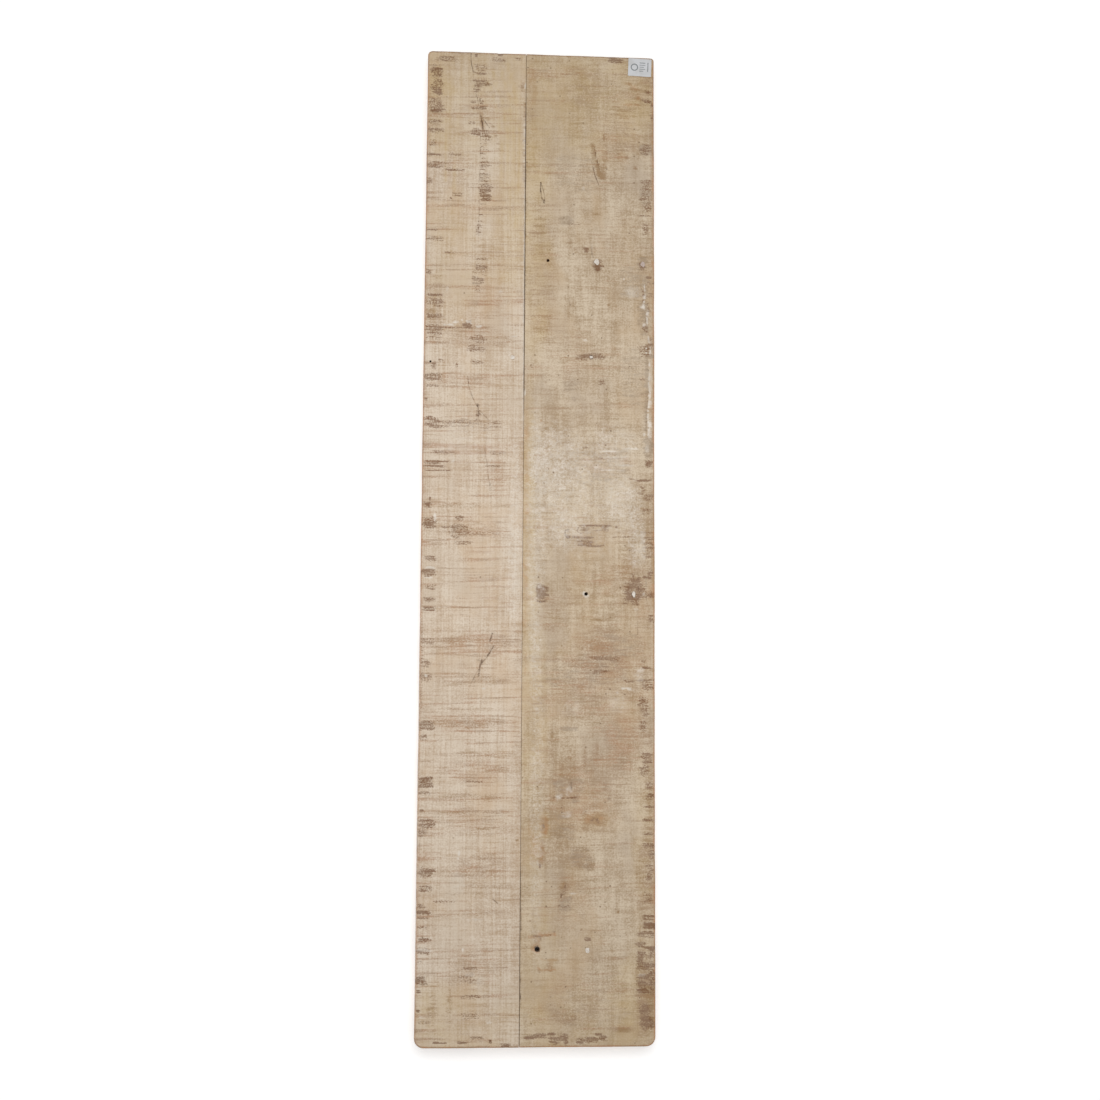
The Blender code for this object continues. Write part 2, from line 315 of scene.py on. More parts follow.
        (0.42, 75, 0.6, (57.5, 1300), (59, 1282), (61, 1268)),
        (0.4, 50, 0.4, (61, 1268), (64, 1250), (67, 1234), (70, 1216)),
        (0.9, 80, 0.7, (71.5, 1212), (74, 1201), (75.5, 1193)),
        (0.7, 55, 0.4, (73, 1210), (80, 1200), (84, 1195)), (0.6, 40, 0.4, (70, 1236), (71, 1214)),
        (0.6, 36, 0.7, (72, 1190), (72, 1150), (70, 1118), (71, 1090), (70, 1062), (70.5, 1040)),
        (0.6, 50, 0.6, (58, 856), (60, 842), (66, 826), (72, 816)),
        (1.3, 75, 0.9, (72, 819), (73, 810), (72.5, 803)), (0.6, 45, 0.5, (75, 811), (80, 805), (87, 798)),
        (0.5, 40, 0.5, (81, 772), (83, 750), (86, 724), (89, 706), (90.5, 690)),
        (1.0, 80, 0.9, (93.5, 520), (90.5, 510)),
        (0.8, 80, 1.0, (95, 504), (91, 495), (86, 487), (81, 482)),
        (1.3, 80, 1.1, (81, 486), (78.5, 478), (77, 466)),
        (0.6, 45, 0.6, (77, 474), (71, 464), (67, 456), (64, 448)),
        (0.5, 22, 0.3, (72, 460), (69, 445), (66, 424), (63, 400)), (0.6, 45, 0.3, (98, 184), (104, 178)),
        # Painted shade: the next stroke darkens the narrow board's seam edge where the seam stands open,
        # from 838 to 1120 mm.
        (0.7, 50, 0.2, (131.4, 1120), (131.3, 838)),
    ),
    *strokes(
        Tone.RUST,
        (2.6, 100, 0.6, (71, 1216), (73, 1205), (75.5, 1193)), (1.3, 90, 0, (4, 0.8), (128, 0.8)),
    ),
    *strokes(
        Tone.UMBER_AND_SHADE,
        (1.6, 50, 0, (76, 1212), (84, 1203), (92, 1190), (97, 1165)),
        # Painted shade: the second stroke on the next row darkens the narrow board's seam edge where the
        # seam stands open, from 1120 to 1232 mm.
        (1.3, 90, 0.1, (0, 1299), (131, 1299)), (0.9, 90, 0.2, (131.3, 1232), (131.4, 1120)),
    ),
    *strokes(
        Tone.HONEY,
        (1.6, 70, 0, (80, 1262), (92, 1225), (98, 1185), (101, 1130), (103, 1080)),
        (1.8, 80, 0, (88, 1272), (100, 1232), (107, 1190), (109, 1135), (112, 1070)),
        (1.8, 80, 0, (97, 1280), (109, 1238), (115, 1190), (117, 1130), (119, 1060)),
        (2.0, 80, 0, (107, 1284), (118, 1242), (123, 1190), (124, 1120), (126, 1050)),
        (1.8, 60, 0, (33, 1288), (31, 1240), (27, 1180), (25, 1120)),
        (1.8, 60, 0, (44, 1290), (44, 1240), (40, 1180), (37, 1110)),
    ),
    *strokes(
        Tone.GREY,
        (0.8, 60, 0.2, (69, 498), (73, 492), (78, 484)),
    ),
    *strokes(
        Tone.CHALK_AND_LIGHT,
        (1.2, 120, 0, (8, 604.5), (13, 605.4), (18, 603.6)),
        (1.2, 70, 0, (18, 674), (18.4, 669), (17.8, 666)), (0.8, 70, 0, (5, 592), (12, 591), (17, 592)),
        (0.9, 100, 0, (56, 931), (60, 930.5), (62, 927)), (0.9, 90, 0, (69, 923.5), (75, 924.5)),
        (0.8, 80, 0.2, (53, 243), (54, 234)),
        (0.9, 90, 0.2, (26, 925), (33, 924.5), (38, 928), (44, 929), (50, 932)),
    ),
    *strokes(
        Tone.DIRT,
        (0.9, 90, 0.1, (3, 743.5), (34, 743)), (0.8, 70, 0.1, (3, 737), (28, 736)),
        (0.7, 70, 0.1, (6, 731), (36, 731.5)), (0.9, 70, 0.1, (4, 921.5), (42, 921.5), (58, 922.5)),
        (0.9, 80, 0.1, (28, 657), (48, 656.4)), (0.9, 70, 0.1, (62, 331), (82, 330.6)),
        (0.9, 80, 0.1, (5, 334.5), (20, 334)),
    ),
    *torn_grain(
        (65, 1259, 10, 90), (66, 1256, 18, 70), (67, 1251, 6, 80), (69, 1232, 6, 70), (69, 1222, 9, 90),
        (60, 1221, 8, 80), (60, 1189, 8, 70), (73, 1190, 9, 80), (73, 1183, 8, 60), (73, 1178, 11, 60),
        (72, 1173, 7, 60), (72.5, 1168, 5, 80), (72.5, 1164, 10, 50), (72, 1159, 4, 70),
        (72.5, 1152, 8, 60), (72, 1147, 12, 70), (72, 1143, 15, 60), (72, 1137, 6, 70), (72, 1131, 8, 60),
        (72, 1126, 11, 60), (72, 1121, 9, 80), (71.5, 1117, 13, 80), (72, 1113, 16, 70), (72, 1109, 12, 60),
        (71.5, 1104, 8, 80), (73, 1100, 14, 90), (72, 1096, 13, 70), (73, 1090, 6, 60), (71, 1083, 5, 50),
        (71, 1075, 5, 60), (70.5, 1066, 4, 60), (70, 1058, 4, 70),
    ),
]

WIDE_MARKS = [
    *patches(
        Tone.DIRT,
        (249, 1295, 5, 4, 80), (258, 1294, 5, 3, 80), (294, 1239, 7, 2.5, 75), (301, 1225, 2.5, 14, 50),
        (297, 1252, 5, 3, 35), (296, 1174, 6, 6, 55), (290, 1168, 7, 4, 65), (294, 1126, 9, 2.5, 65),
        (294, 1110, 8, 12, 42), (296, 1090, 6, 8, 50), (291, 1079, 8, 1.5, 60), (293, 1062, 4, 9, 40),
        (213, 1031, 2.6, 3.6, 95), (229, 1012, 5, 7, 60), (228.5, 1007, 3, 5, 110), (235, 1009, 3, 1.6, 85),
        (289, 1010, 4, 5.5, 80), (298, 995, 4, 1.6, 70), (299, 978, 4, 12, 35), (293, 927, 4, 1.8, 80),
        (299, 906, 4, 7, 70), (292, 895, 8, 9, 45), (220, 887, 14, 2.2, 80), (220, 885, 20, 5, 45),
        (142, 873, 2, 3, 50), (235, 852, 3.6, 4, 65), (289, 857, 5, 2.6, 40), (298, 745, 4.5, 4.5, 80),
        (213, 765, 4, 1.2, 50), (233, 751, 3, 1.6, 50), (290, 722, 8, 1.4, 65), (289, 711, 3, 4, 55),
        (286, 705, 5, 1.4, 65), (297, 700, 6, 6, 55), (296, 681, 6, 5, 45), (191, 650, 2.6, 5.5, 85),
        (213, 657, 6, 3, 50), (226, 661.5, 20, 1.3, 85), (240, 657, 5, 3, 40), (210, 646, 13, 1.2, 85),
        (215, 640, 9, 3.5, 50), (221, 635, 16, 1.4, 90), (296, 646, 8, 2, 60), (297, 630, 7, 12, 42),
        (295, 653, 8, 1.2, 60), (254, 660, 1.6, 1.6, 60), (293, 595, 5, 2, 75), (299, 600, 3, 8, 60),
        (280, 588, 6, 6, 60), (270, 573, 3, 9, 55), (288, 576, 5, 9, 60), (278, 562, 6, 3.5, 70),
        (299, 572, 5, 5, 60), (157, 574, 7, 9.5, 85), (157, 562, 6, 1.6, 60), (300, 540, 3, 5, 50),
        (240, 489, 20, 3, 50), (235, 474, 10, 7, 35), (290, 485, 3, 2, 80), (295, 477, 7, 2, 75),
        (293, 460, 10, 1.8, 60), (296, 452, 7, 4, 60), (270, 460, 8, 1.5, 50), (290, 431, 7, 7, 70),
        (292, 420, 6, 5, 55), (290, 402, 4.5, 7, 60), (294, 361, 7, 6, 75), (291, 345, 5, 7, 60),
        (298, 325, 5, 5, 55), (299, 312, 4, 5, 65), (297, 300, 7, 1.6, 85), (296, 283, 7, 2, 75),
        (296, 265, 6, 2, 70), (245, 310, 2, 2, 75), (297, 250, 8, 3, 65), (301, 238, 3, 6, 60),
        (299, 222, 4, 6, 45), (297, 211, 4, 5, 75), (296, 183, 6, 8, 50), (296, 160, 7, 3.5, 70),
        (297, 149.5, 9, 4.5, 115), (292, 139, 11, 3.5, 70), (286, 127, 7, 3, 65), (298, 123, 7, 2, 60),
        (286, 111, 5, 8, 85), (298, 115, 4, 6, 60), (289, 99, 9, 5, 75), (289, 86, 9, 3, 75),
        (287, 72, 7, 8, 70), (300, 95, 4, 30, 50), (291, 40, 7, 12, 65), (294, 27, 8, 7, 75),
        (146, 13, 8, 2.4, 85), (158, 15, 9, 3, 90), (173, 17, 5, 2, 80), (176, 9, 6, 6, 60),
        (190, 10, 2.5, 8, 75), (184, 14, 5, 5, 50), (210, 7, 4, 3.5, 90), (224, 9, 9, 3.5, 75),
        (238, 12, 5, 4, 75), (232, 16, 5, 2, 60), (203, 37, 1.4, 4, 50), (218, 134, 4, 2.4, 65),
        (184, 188, 1.4, 3, 80), (157, 224, 1.5, 3, 80), (199, 1066, 10, 3, 20),
    ),
    *patches(
        Tone.GREY,
        (157, 574, 7, 10, 90), (278, 575, 11, 13, 70), (297, 765, 6, 14, 80), (299, 893, 6, 10, 70),
        (294, 985, 5, 14, 50), (292, 1170, 8, 8, 60), (293, 1108, 8, 14, 50), (186, 1071, 9, 6, 60),
        (228, 1011, 5, 8, 110), (289, 1014, 6, 8, 80), (190, 1067, 2, 3, 80), (208, 236, 13, 13, 45),
        (222, 229, 7, 9, 40), (240, 478, 30, 22, 40), (200, 470, 40, 20, 30), (193, 398, 11, 3, 75),
        (240, 389, 2, 6, 50), (260, 506, 30, 14, 40), (193, 325, 19, 14, 55), (188, 276, 14, 20, 40),
        (202, 309, 5, 4, 80), (235, 740, 40, 26, 30), (195, 848, 12, 8, 40), (275, 990, 16, 24, 30),
        (290, 940, 8, 24, 50), (190, 178, 9, 9, 75), (227, 60, 50, 40, 14), (200, 1135, 30, 30, 20),
        (280, 860, 20, 40, 25), (215, 657, 8, 6, 40), (212, 640, 12, 5, 40), (198, 829, 3, 3, 50),
        (240, 325, 6, 6, 60),
    ),
    *patches(
        Tone.UMBER_AND_SHADE,
        # The first and third patches on the next row are broad and faint and darken the near and far ends
        # of the board.
        (220, 20, 105, 40, 10), (190, 250, 44, 50, 16), (225, 1262, 90, 50, 16), (288, 1262, 24, 44, 30),
        (155, 1000, 22, 120, 32), (168, 548, 18, 34, 28), (292, 190, 14, 70, 16), (180, 790, 50, 60, 14),
        (218, 281, 7, 11, 70), (228, 281, 9, 11, 80), (238, 281, 6, 10, 60), (228, 279, 3, 3, 120),
        (162, 276, 5, 14, 80), (160, 275, 2, 2.4, 120), (160, 240, 3, 14, 60), (207, 236, 12, 12, 70),
        (222, 229, 7, 8, 80), (205, 229, 5, 4, 60), (292, 60, 12, 50, 75), (293, 33, 9, 10, 90),
        (262, 21, 14, 3.6, 85), (185, 37, 16, 7, 40), (157, 138, 12, 3, 60), (154, 131, 5, 4, 50),
        (156, 138, 14, 1.4, 50), (170, 98, 5, 6, 45), (157, 94, 2, 4, 50), (190, 196, 7, 10, 80),
        (235, 539, 13, 2, 70), (240, 524, 24, 6, 45), (230, 508, 34, 8, 35), (275, 445, 13, 11, 50),
        (268, 615, 16, 28, 28), (282, 715, 10, 8, 40), (186, 881, 9, 6, 45), (187, 864, 6, 9, 35),
        (190, 945, 6, 12, 35), (163, 920, 1.8, 1.8, 70), (244, 957, 1.8, 1.8, 70), (213, 1032, 4, 4, 80),
        (198, 1030, 5, 4, 40), (227, 1012, 7, 9, 40), (235, 1138, 5, 12, 50), (223, 1160, 3, 14, 55),
        (262, 1222, 20, 9, 35), (240, 1180, 3, 60, 20), (151, 1052, 14, 2, 40), (228, 1085, 6, 14, 35),
        (265, 1078, 14, 14, 20), (192, 345, 14, 13, 40), (213, 365, 3, 14, 45), (230, 365, 8, 12, 35),
        (193, 576, 2.4, 12, 50), (180, 265, 8, 5, 50), (291, 1030, 12, 16, 25), (280, 400, 20, 40, 20),
        (292, 220, 12, 60, 40), (160, 1120, 3, 3, 10), (297, 340, 7, 90, 35), (192, 1040, 4, 2, 40),
        (279, 578, 12, 14, 50), (210, 501, 1.6, 2, 80), (183, 505, 1.4, 2, 80), (257, 167, 1.8, 2, 80),
        (263, 203, 7, 4, 50), (145, 156, 1.6, 1.6, 70), (210, 145, 1.5, 2, 90), (156, 329, 1.4, 1.4, 80),
        (155, 430, 18, 2, 35), (212, 449, 9, 3, 45),
    ),
    *patches(
        Tone.HONEY,
        (220, 1250, 120, 110, 42), (285, 1255, 30, 60, 30), (145, 1070, 26, 210, 46),
        (138, 660, 11, 180, 62), (146, 400, 22, 200, 30), (220, 20, 110, 60, 26), (285, 60, 40, 80, 28),
        (155, 120, 30, 110, 30), (226, 281, 18, 13, 50), (162, 276, 8, 18, 60), (290, 260, 22, 130, 20),
        (215, 600, 70, 120, 12),
    ),
    *patches(
        Tone.RUST,
        (271, 1262, 7, 3, 80), (279, 1257, 7, 5, 45), (266, 1246, 14, 6, 35), (283, 1245, 3, 6, 50),
        (272, 1233, 14, 2, 60), (230, 1257, 7, 2, 40), (155, 799.5, 1.4, 2, 120), (227, 283, 13, 8, 90),
        (228, 281, 5, 5, 80), (162, 276, 6, 13, 80), (161, 240, 3, 14, 50), (156.5, 124, 3, 3, 90),
        (137, 620, 5, 170, 42), (136, 790, 4, 60, 35), (137, 560, 5, 30, 20), (140, 1248, 10, 45, 22),
        (150, 264, 12, 40, 20), (304, 600, 2, 120, 60), (304, 900, 1.6, 200, 40), (304, 200, 1.8, 200, 50),
        (118, 1014, 2, 2, 60),
    ),
    *patches(
        Tone.CHALK_AND_LIGHT,
        (290, 955, 4, 3.4, 95), (292, 968, 3, 3, 70), (296, 946, 2, 6, 60), (291, 930, 2.4, 3, 60),
        (294, 899, 1.2, 1.2, 90), (294, 893, 1.2, 1.2, 90), (298, 836, 2.2, 4, 60), (297, 806, 2.6, 5, 60),
        (294, 764, 1.6, 7, 60), (291, 784, 2, 3, 80), (299, 784, 1.6, 8, 60), (273, 764, 13, 1.2, 95),
        (250, 752, 16, 1, 70), (262, 742, 18, 1, 70), (248, 735, 14, 1, 60), (245, 760, 12, 1.2, 90),
        (228, 738, 6, 2.2, 50), (264, 992, 1.6, 1.6, 90), (210, 1115, 2, 3, 60), (153, 580, 1.2, 3, 40),
        (153, 570, 1.2, 2, 30), (268, 451, 7, 1.6, 70), (255, 445, 2, 2, 50), (181, 312, 4, 6, 60),
        (193, 320, 6, 8, 35), (191, 290, 7, 5, 40), (151, 424, 4, 2, 55), (286, 468, 6, 10, 35),
        # The broad faint patches on the next rows that lie between about 450 and 850 mm along the board
        # lighten its middle: partly paler wood and partly painted light over the middle of the plank.
        (133.6, 836, 1.4, 5, 90), (213, 908, 3, 1.6, 50), (265, 690, 26, 34, 30), (148, 640, 14, 190, 30),
        (152, 300, 12, 260, 20), (215, 700, 70, 110, 18), (165, 740, 30, 70, 20), (255, 770, 34, 30, 18),
        (185, 655, 22, 26, 24), (175, 740, 40, 50, 20), (280, 640, 10, 40, 30), (289, 640, 4, 30, 40),
        (275, 975, 12, 10, 30), (221, 1036, 2, 6, 20), (199, 190, 5, 1.4, 40), (290, 573, 2, 3, 50),
        (280, 553, 3, 3, 30), (287, 88, 6, 3, 30), (259, 430, 20, 12, 20), (190, 425, 30, 14, 15),
    ),
    *patches(
        Tone.SAW,
        (235, 480, 50, 48, 42), (262, 385, 26, 38, 50), (205, 430, 60, 26, 30), (215, 310, 60, 44, 34),
        (240, 350, 40, 20, 30), (265, 590, 40, 30, 30), (215, 645, 40, 16, 25), (255, 1185, 34, 40, 36),
        (240, 745, 46, 22, 25), (190, 180, 40, 40, 25), (200, 60, 60, 40, 20), (195, 890, 50, 50, 20),
        (290, 500, 12, 160, 25),
    ),
    *saw_lines(
        (1167, 224, 284, 50, 3), (1158, 228, 270, 70, 2.5), (1174, 226, 282, 30, 1),
        (1115, 228, 286, 40, 2), (1230, 252, 286, 50, 2), (1224, 252, 288, 35, 2), (1213, 225, 270, 25, 2),
        (1192, 150, 240, 25, 3), (1183, 236, 284, 30, 2), (1064, 260, 282, 35, 1), (986, 160, 290, 30, 4),
        (920, 140, 215, 30, 1), (876, 225, 290, 30, 2), (748, 200, 270, 40, 2), (764, 190, 245, 30, 1),
        (708, 200, 250, 25, 2), (661, 206, 246, 50, 2), (652, 250, 296, 45, 2), (647, 250, 300, 40, 2),
        (641, 250, 300, 30, 2), (603, 230, 290, 25, 1), (588, 185, 296, 50, 4), (581, 170, 250, 25, 2),
        (564, 143, 240, 50, 4), (557, 150, 260, 40, 4), (570, 220, 270, 30, 2), (542, 195, 300, 40, 2),
        (531, 160, 290, 25, 1), (516, 190, 290, 35, 1), (501, 142, 240, 40, 3), (504, 142, 160, 50),
        (490, 218, 266, 60, 1), (485, 142, 264, 60, 3), (468, 140, 250, 35, 2), (452, 146, 222, 60, 4),
        (448, 158, 184, 70, 1), (451, 200, 222, 50, 1), (445, 205, 225, 40), (430, 150, 230, 30, 4),
        (435, 262, 302, 60, 1), (414, 140, 225, 35, 4), (421, 230, 302, 30, 2), (398, 175, 215, 40, 3),
        (394, 215, 285, 40, 2), (388, 240, 285, 45, 2), (384, 245, 285, 40, 2), (380, 245, 285, 35, 2),
        (374, 240, 285, 35, 1), (356, 168, 300, 60, 6), (346, 250, 285, 45, 2), (340, 175, 205, 50),
        (326, 215, 300, 40, 3), (309, 172, 230, 60, 3), (314, 244, 292, 60, 3), (294, 176, 210, 35, 1),
        (244, 180, 290, 25, 3), (226, 180, 250, 30, 5), (208, 160, 290, 30, 6), (211, 170, 200, 40),
        (163, 190, 300, 25, 4), (138, 150, 176, 40, 1), (130, 218, 300, 30, 4), (125, 180, 270, 35, 4),
        (110, 165, 215, 30, 3), (96, 152, 180, 35, 1), (84, 280, 304, 50), (60, 230, 280, 20, 2),
        (31, 175, 290, 20, 2),
    ),
    *strokes(
        Tone.CRACK_AND_SHADE,
        (0.7, 80, 0.9, (152.5, 1122), (152.5, 1112), (154, 1101), (157, 1093.5)),
        (0.6, 60, 0.7, (152.5, 1122), (155.5, 1113), (157.5, 1103), (157.5, 1093.5)),
        (1.2, 90, 0.9, (157, 1098), (157, 1094)), (0.7, 55, 0.5, (224, 1172), (228, 1150), (233, 1138)),
        (0.8, 70, 0.5, (222, 1145), (225, 1133), (230, 1121)),
        (0.6, 55, 0.6, (219.5, 1042), (221, 1030), (223.5, 1021)),
        (0.5, 25, 0.1, (238, 1012), (247, 1013), (262, 1012)), (0.5, 40, 0.2, (228, 1006), (230, 1000)),
        (0.6, 50, 0.5, (296.5, 870), (296.5, 845), (294.5, 820), (293.5, 785)),
        (0.5, 50, 0.3, (296, 950), (294, 935)),
        (0.45, 40, 0.4, (282.5, 600), (283, 580), (283, 545), (282.5, 520)),
        (0.5, 40, 0.3, (293, 594), (294, 560)),
        (0.9, 80, 0.4, (193, 656), (188, 655), (187.5, 650), (190, 645), (194, 646)),
        # Painted shade: the two strokes on the next row darken the wide board's seam edge where the seam
        # stands open, from 838 to 1150 mm and from 20 to 215 mm.
        (0.6, 40, 0.1, (132.9, 1150), (133.0, 838)), (0.5, 50, 0.1, (132.8, 215), (132.9, 20)),
        (0.9, 100, 0.6, (151.6, 123.6), (154.5, 125), (157.4, 122), (156, 118.4)),
        (0.8, 60, 0.3, (151, 564), (156, 560.5), (163, 564)), (0.4, 10, 0.1, (212, 584), (211, 560)),
        (0.6, 50, 0.2, (183, 187), (190, 191)), (0.8, 60, 0.2, (197, 330), (197, 322)),
        (0.6, 35, 0.2, (190, 962), (192, 955)), (0.5, 25, 0.2, (168, 975), (173, 962)),
    ),
    *strokes(
        Tone.UMBER_AND_SHADE,
        (2.4, 100, 0.3, (222, 1176), (225, 1160), (228, 1145), (233, 1128)),
        (1.5, 90, 0.2, (237, 1190), (239, 1165), (238, 1140), (235, 1122)),
        (1.0, 110, 0.2, (281, 1172), (283, 1162), (281, 1150), (276, 1136)),
        (1.4, 80, 0.2, (272, 1262), (284, 1240), (290, 1232)), (1.0, 90, 0.2, (256, 1164), (259, 1150)),
        (1.0, 90, 0.2, (267, 1162), (270, 1151)), (1.0, 60, 0.1, (257, 1200), (276, 1186)),
        (1.3, 90, 0.1, (135, 1299), (304, 1299)),
        (1.6, 50, 0.1, (172, 392), (173, 370), (175, 340), (174, 300)),
        (2.4, 50, 0.1, (183, 352), (184, 330), (186, 300), (187, 270)),
        (1.8, 50, 0.1, (194, 372), (195, 340), (197, 310)),
        (1.1, 50, 0.1, (213, 374), (214, 356), (216, 340)),
        (1.1, 45, 0.1, (228, 388), (230, 366), (232, 350)),
        (1.5, 60, 0.1, (163, 300), (161, 280), (163, 262), (158, 240), (156, 222)),
        (1.5, 70, 0.1, (212, 292), (211.5, 283), (212, 271)),
        (1.3, 50, 0.1, (213, 291), (224, 292), (238, 291)),
        (1.5, 60, 0.1, (213, 270.5), (226, 269), (237, 271)),
    ),
    *strokes(
        Tone.RUST,
        (1.3, 90, 0, (135, 0.8), (300, 0.8)), (1.1, 90, 0, (304, 10), (304.2, 600), (304, 1290)),
        (1.9, 70, 0, (146, 136.5), (158, 138.5), (176, 140)),
        (2.2, 70, 0, (155, 142), (157.5, 136), (156, 129)),
        (1.3, 90, 0, (157, 110), (164, 108), (178, 108)), (1.4, 90, 0, (154, 99), (160, 95), (176, 96.5)),
        (1.1, 70, 0, (171, 107), (172.5, 96)),
        (1.6, 120, 0.1, (149.6, 121), (151.6, 125.6), (156.4, 126), (158.8, 121)),
        (1.1, 100, 0.1, (158.2, 121), (156, 117), (152, 117.2), (150.2, 121)),
    ),
    *strokes(
        Tone.DIRT,
        (0.8, 60, 0.1, (150, 138), (157, 137), (158, 133)),
        (0.8, 60, 0.1, (171, 139), (176, 141), (176.5, 144)),
        (0.9, 70, 0.2, (190, 203), (189, 195), (185, 190), (183.5, 186)),
        (0.8, 60, 0.1, (181, 176), (187, 173), (194, 176)),
        (0.9, 100, 0.25, (206, 661), (214, 662), (229, 661.5), (246, 662)),
        (0.8, 80, 0.2, (205, 659), (203, 654), (208, 651)),
        (0.8, 70, 0.2, (223, 659), (224, 655), (235, 656)),
        (1.0, 100, 0.25, (198, 646.5), (210, 646), (223, 646.5)),
        (0.9, 70, 0.2, (204, 640), (214, 641), (226, 640.5)),
        (0.9, 100, 0.25, (205, 636.5), (214, 635), (238, 636)),
        (0.7, 60, 0.1, (250, 647), (272, 647.5), (298, 647)),
        (0.9, 90, 0.2, (272, 724), (289, 722), (299, 722.5)),
        (0.9, 80, 0.2, (288, 980), (291, 972), (289, 962)),
        (0.9, 80, 0.2, (296, 960), (298, 950), (295, 942)),
        (1.0, 90, 0.2, (293, 930), (289, 926), (295, 922)),
        (1.0, 110, 0.2, (223, 282), (226, 284.6), (230, 284), (231, 279.6)),
        (1.0, 100, 0.2, (160, 277), (162, 273), (159, 270)),
        (0.7, 70, 0.1, (172, 311), (190, 310), (203, 311)),
    ),
    *strokes(
        Tone.CHALK_AND_LIGHT,
        (1.5, 130, 0.3, (211.8, 574), (211.4, 571.6), (212.5, 569.8), (214.6, 569.1), (216.6, 569.9)),
        (0.9, 80, 0.4, (291, 985), (293, 968), (290, 957), (295, 946), (296, 930)),
        (0.9, 75, 0.4, (297, 915), (299, 897), (297.5, 884), (298.5, 868)),
        (1.1, 95, 0.5, (298.5, 868), (296.8, 852), (298.6, 838), (297, 822)),
        (1.2, 90, 0.5, (297, 822), (295.6, 806), (298, 796), (296.5, 783)),
        (1.3, 80, 0, (262, 450), (275, 449)),
    ),
    *strokes(
        Tone.GREY,
        (2.4, 90, 0, (291, 990), (293, 975), (291, 958), (294, 940), (295, 920)),
        (1.8, 80, 0, (294, 900), (295, 880), (294, 850), (293, 820), (292, 790)),
        (0.9, 60, 0.1, (172, 394), (174, 384)),
    ),
    *crushed_rays(278, 575, (15, 11, 17, 20, 24, 18, 13, 15, 12, 17, 14, 12, 18, 13, 11), 0.78),
    *comb(264.5, 560.5, 6.5, (0, 3, 6.2, 9.2, 12.4, 15.4, 18.6, 22, 26)),
]

NARROW_DENTS = (
    Dent(116.9, 883.2, 4.5, 4.5, 0.5),
    Dent(57, 926, 6, 5, 0.6),
    Dent(116, 2, 6, 3, 1.2),
    Dent(96, 8, 2, 2, 0.7),
    Dent(97, 1299, 4, 2.5, 0.8),
    Dent(62, 6, 5, 2, 0.5),
)
WIDE_DENTS = (
    Dent(277.5, 574, 12, 14, 0.7),
    Dent(277.5, 573, 4.5, 6, 1.2),
    Dent(227, 1015, 6, 7, 0.8),
    Dent(289.4, 1013, 4.5, 6, 0.7),
    Dent(221, 886, 4, 3, 0.6),
    Dent(218, 120, 4, 5, 0.7),
    Dent(213, 1031, 3, 4, 0.5),
    Dent(157, 574, 8, 10, 0.25),
    Dent(191, 650, 3, 6, 0.5),
    Dent(297, 149.5, 8, 5, 0.4),
    Dent(303, 745, 3, 5, 0.6),
    Dent(190, 10, 3, 8, 0.3),
)
NARROW_HOLES = (NailHole(9.2, 875.5, 1.25), NailHole(116.9, 883.2, 2.4))
WIDE_HOLES = (
    NailHole(154.0, 121.2, 3.1),
    NailHole(218.0, 119.7, 2.6),
    NailHole(214.7, 572.2, 2.2),
    NailHole(277.2, 572.8, 2.6),
    NailHole(221.0, 885.8, 2.2),
    NailHole(162.9, 1015.1, 1.8),
    NailHole(228.0, 1015.3, 2.6),
    NailHole(289.4, 1013.9, 2.4),
)


# ---------------------------------------------------------------- fields over the wood


def ease(value: np.ndarray, low: float, high: float) -> np.ndarray:
    """Return 0 below low, 1 above high and a smooth step between."""
    share = np.clip((value - low) / (high - low), 0.0, 1.0)
    return share * share * (3.0 - 2.0 * share)


class Lattice:
    """A smooth random field from 0 to 1 that can be read at many points at once."""

    SIDE = 512
    SHIFT = 64.0

    def __init__(self, seed: int, pitch_x: float, pitch_y: float) -> None:
        """Draw the field's random values.

        Args:
            seed: Start of the random draw.
            pitch_x: Size of its grains across the plank, in millimetres.
            pitch_y: Size of its grains along the plank, in millimetres.
        """
        self.table = np.random.default_rng(seed).random((self.SIDE, self.SIDE))
        self.pitch_x = pitch_x
        self.pitch_y = pitch_y

    def at(self, x: np.ndarray, y: np.ndarray) -> np.ndarray:
        """Read the field.

        Args:
            x: Places across the plank.
            y: Places along the plank.

        Returns:
            A value from 0 to 1 for each point.
        """
        column = x / self.pitch_x + self.SHIFT
        row = y / self.pitch_y + self.SHIFT
        i = np.floor(column).astype(int)
        j = np.floor(row).astype(int)
        across = ease(column - i, 0.0, 1.0)
        along = ease(row - j, 0.0, 1.0)
        side = self.SIDE
        low = self.table[i % side, j % side]
        right = self.table[(i + 1) % side, j % side]
        up = self.table[i % side, (j + 1) % side]
        both = self.table[(i + 1) % side, (j + 1) % side]
        near = low + (right - low) * across
        far = up + (both - up) * across
        return near + (far - near) * along


def distance_to_line(x: np.ndarray, y: np.ndarray, points: tuple) -> np.ndarray:
    """Measure how far points are from a line.

    Args:
        x: The points' places across the plank.
        y: The points' places along the plank.
        points: The line's own points.

    Returns:
        The distance of each point to the nearest place on the line.
    """
    best = np.full(x.shape, np.inf)
    for (x0, y0), (x1, y1) in zip(points, points[1:]):
        run_x = x1 - x0
        run_y = y1 - y0
        share = ((x - x0) * run_x + (y - y0) * run_y) / (run_x * run_x + run_y * run_y)
        share = np.clip(share, 0.0, 1.0)
        best = np.minimum(best, np.hypot(x - x0 - share * run_x, y - y0 - share * run_y))
    return best


